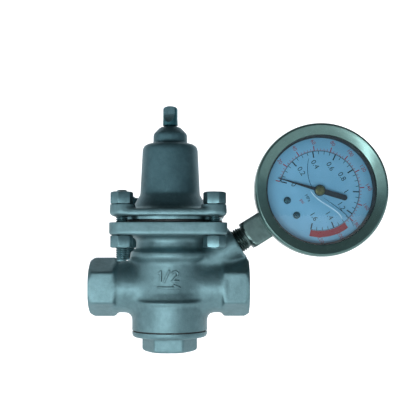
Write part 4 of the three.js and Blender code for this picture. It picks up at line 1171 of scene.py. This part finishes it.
# ---- stage, light and camera
def pale(name, colour, glow):
    """The backdrop's matt paint, lit softly from within so that it stays even."""
    s = Surface(name)
    mottle = s.ramp(s.noise(s.coordinates(), 0.004, 3), ((0.3, [c * 0.985 for c in colour]), (0.7, colour)))
    return s.finish("BsdfPrincipled", {
        "Base Color": mottle, "Roughness": 0.9, "Emission Color": mottle, "Emission Strength": glow,
    })


def make_stage():
    """A pale floor under the valve that curves up into a backdrop."""
    floor_z, bend, back, height, half = -62.0, 500.0, 1400.0, 2600.0, 2600.0
    line = [(-half, floor_z)]
    line += [(back - bend + bend * math.sin(a), floor_z + bend * (1 - math.cos(a)))
             for a in np.linspace(0, math.pi / 2, 14)]
    line.append((back, height))
    points = [(x, y, z) for x in (-half, half) for y, z in line]
    n = len(line)
    faces = [(i + n, i + 1 + n, i + 1, i) for i in range(n - 1)]
    floor = make_object("floor", points, faces, pale("pale backdrop", (0.9, 0.905, 0.91), 0.98))
    floor.data.polygons.foreach_set("use_smooth", np.ones(len(floor.data.polygons), bool))


def aim(name, data, at, target):
    """Puts a light or a camera at a point and turns it to another."""
    made = bpy.data.objects.new(name, data)
    bpy.context.scene.collection.objects.link(made)
    made.location = Vector(at) * MM
    made.rotation_mode = "QUATERNION"
    made.rotation_quaternion = (Vector(target) - Vector(at)).to_track_quat("-Z", "Y")
    return made


def make_lights():
    for name, at, target, size, power in (
        ("low_front", (-360, -480, -20), (0, 0, 0), (420, 300), 0.44),
        ("left_side", (-520, -160, 60), (0, 0, 20), (300, 420), 0.42),
        ("rim_strip", (-40, -260, -50), (60, 0, 40), (260, 30), 0.36),
    ):
        lamp = bpy.data.lights.new(name, "AREA")
        lamp.shape, lamp.size, lamp.size_y = "RECTANGLE", size[0] * MM, size[1] * MM
        lamp.energy = power
        aim(name, lamp, at, target)


def make_world():
    world = bpy.data.worlds.new("studio")
    bpy.context.scene.world = world
    world.use_nodes = True
    tree = world.node_tree
    direction = tree.nodes.new("ShaderNodeTexCoord").outputs["Generated"]
    split = tree.nodes.new("ShaderNodeSeparateXYZ")
    tree.links.new(direction, split.inputs[0])
    ramp = tree.nodes.new("ShaderNodeValToRGB")
    tree.links.new(split.outputs["Z"], ramp.inputs["Fac"])
    stops = ((0.0, (0.24, 0.34, 0.42)), (0.35, (0.16, 0.17, 0.18)), (1.0, (0.07, 0.075, 0.075)))
    ramp.color_ramp.elements.new(0.5)
    for element, (position, colour) in zip(ramp.color_ramp.elements, stops):
        element.position = position
        element.color = rgba(colour)
    background = tree.nodes["Background"]
    tree.links.new(ramp.outputs["Color"], background.inputs["Color"])
    background.inputs["Strength"].default_value = 1.0


def make_camera():
    """Level with the pipe and a little to its right, as far off as a hand-held camera."""
    distance, seen_width, sensor = 400.0, 219.8, 36.0
    camera = bpy.data.cameras.new("camera")
    camera.sensor_width = sensor
    camera.lens = sensor * distance / seen_width
    camera.clip_start, camera.clip_end = 0.01, 20
    bpy.context.scene.camera = aim("camera", camera, (15.7, -distance, 19.0), (20.9, 0, 40.0))


for make in (
    make_body, make_plug, make_bonnet, make_fasteners, make_adjusting_screw, make_diaphragm, make_springs,
    make_stem, make_case, make_bezel, make_dial, make_dial_hardware, make_liquid_edge, make_pointer,
    finish_inner_nodes, make_stage, make_world, make_lights, make_camera,
):
    make()
bpy.context.scene.view_settings.view_transform = "Standard"
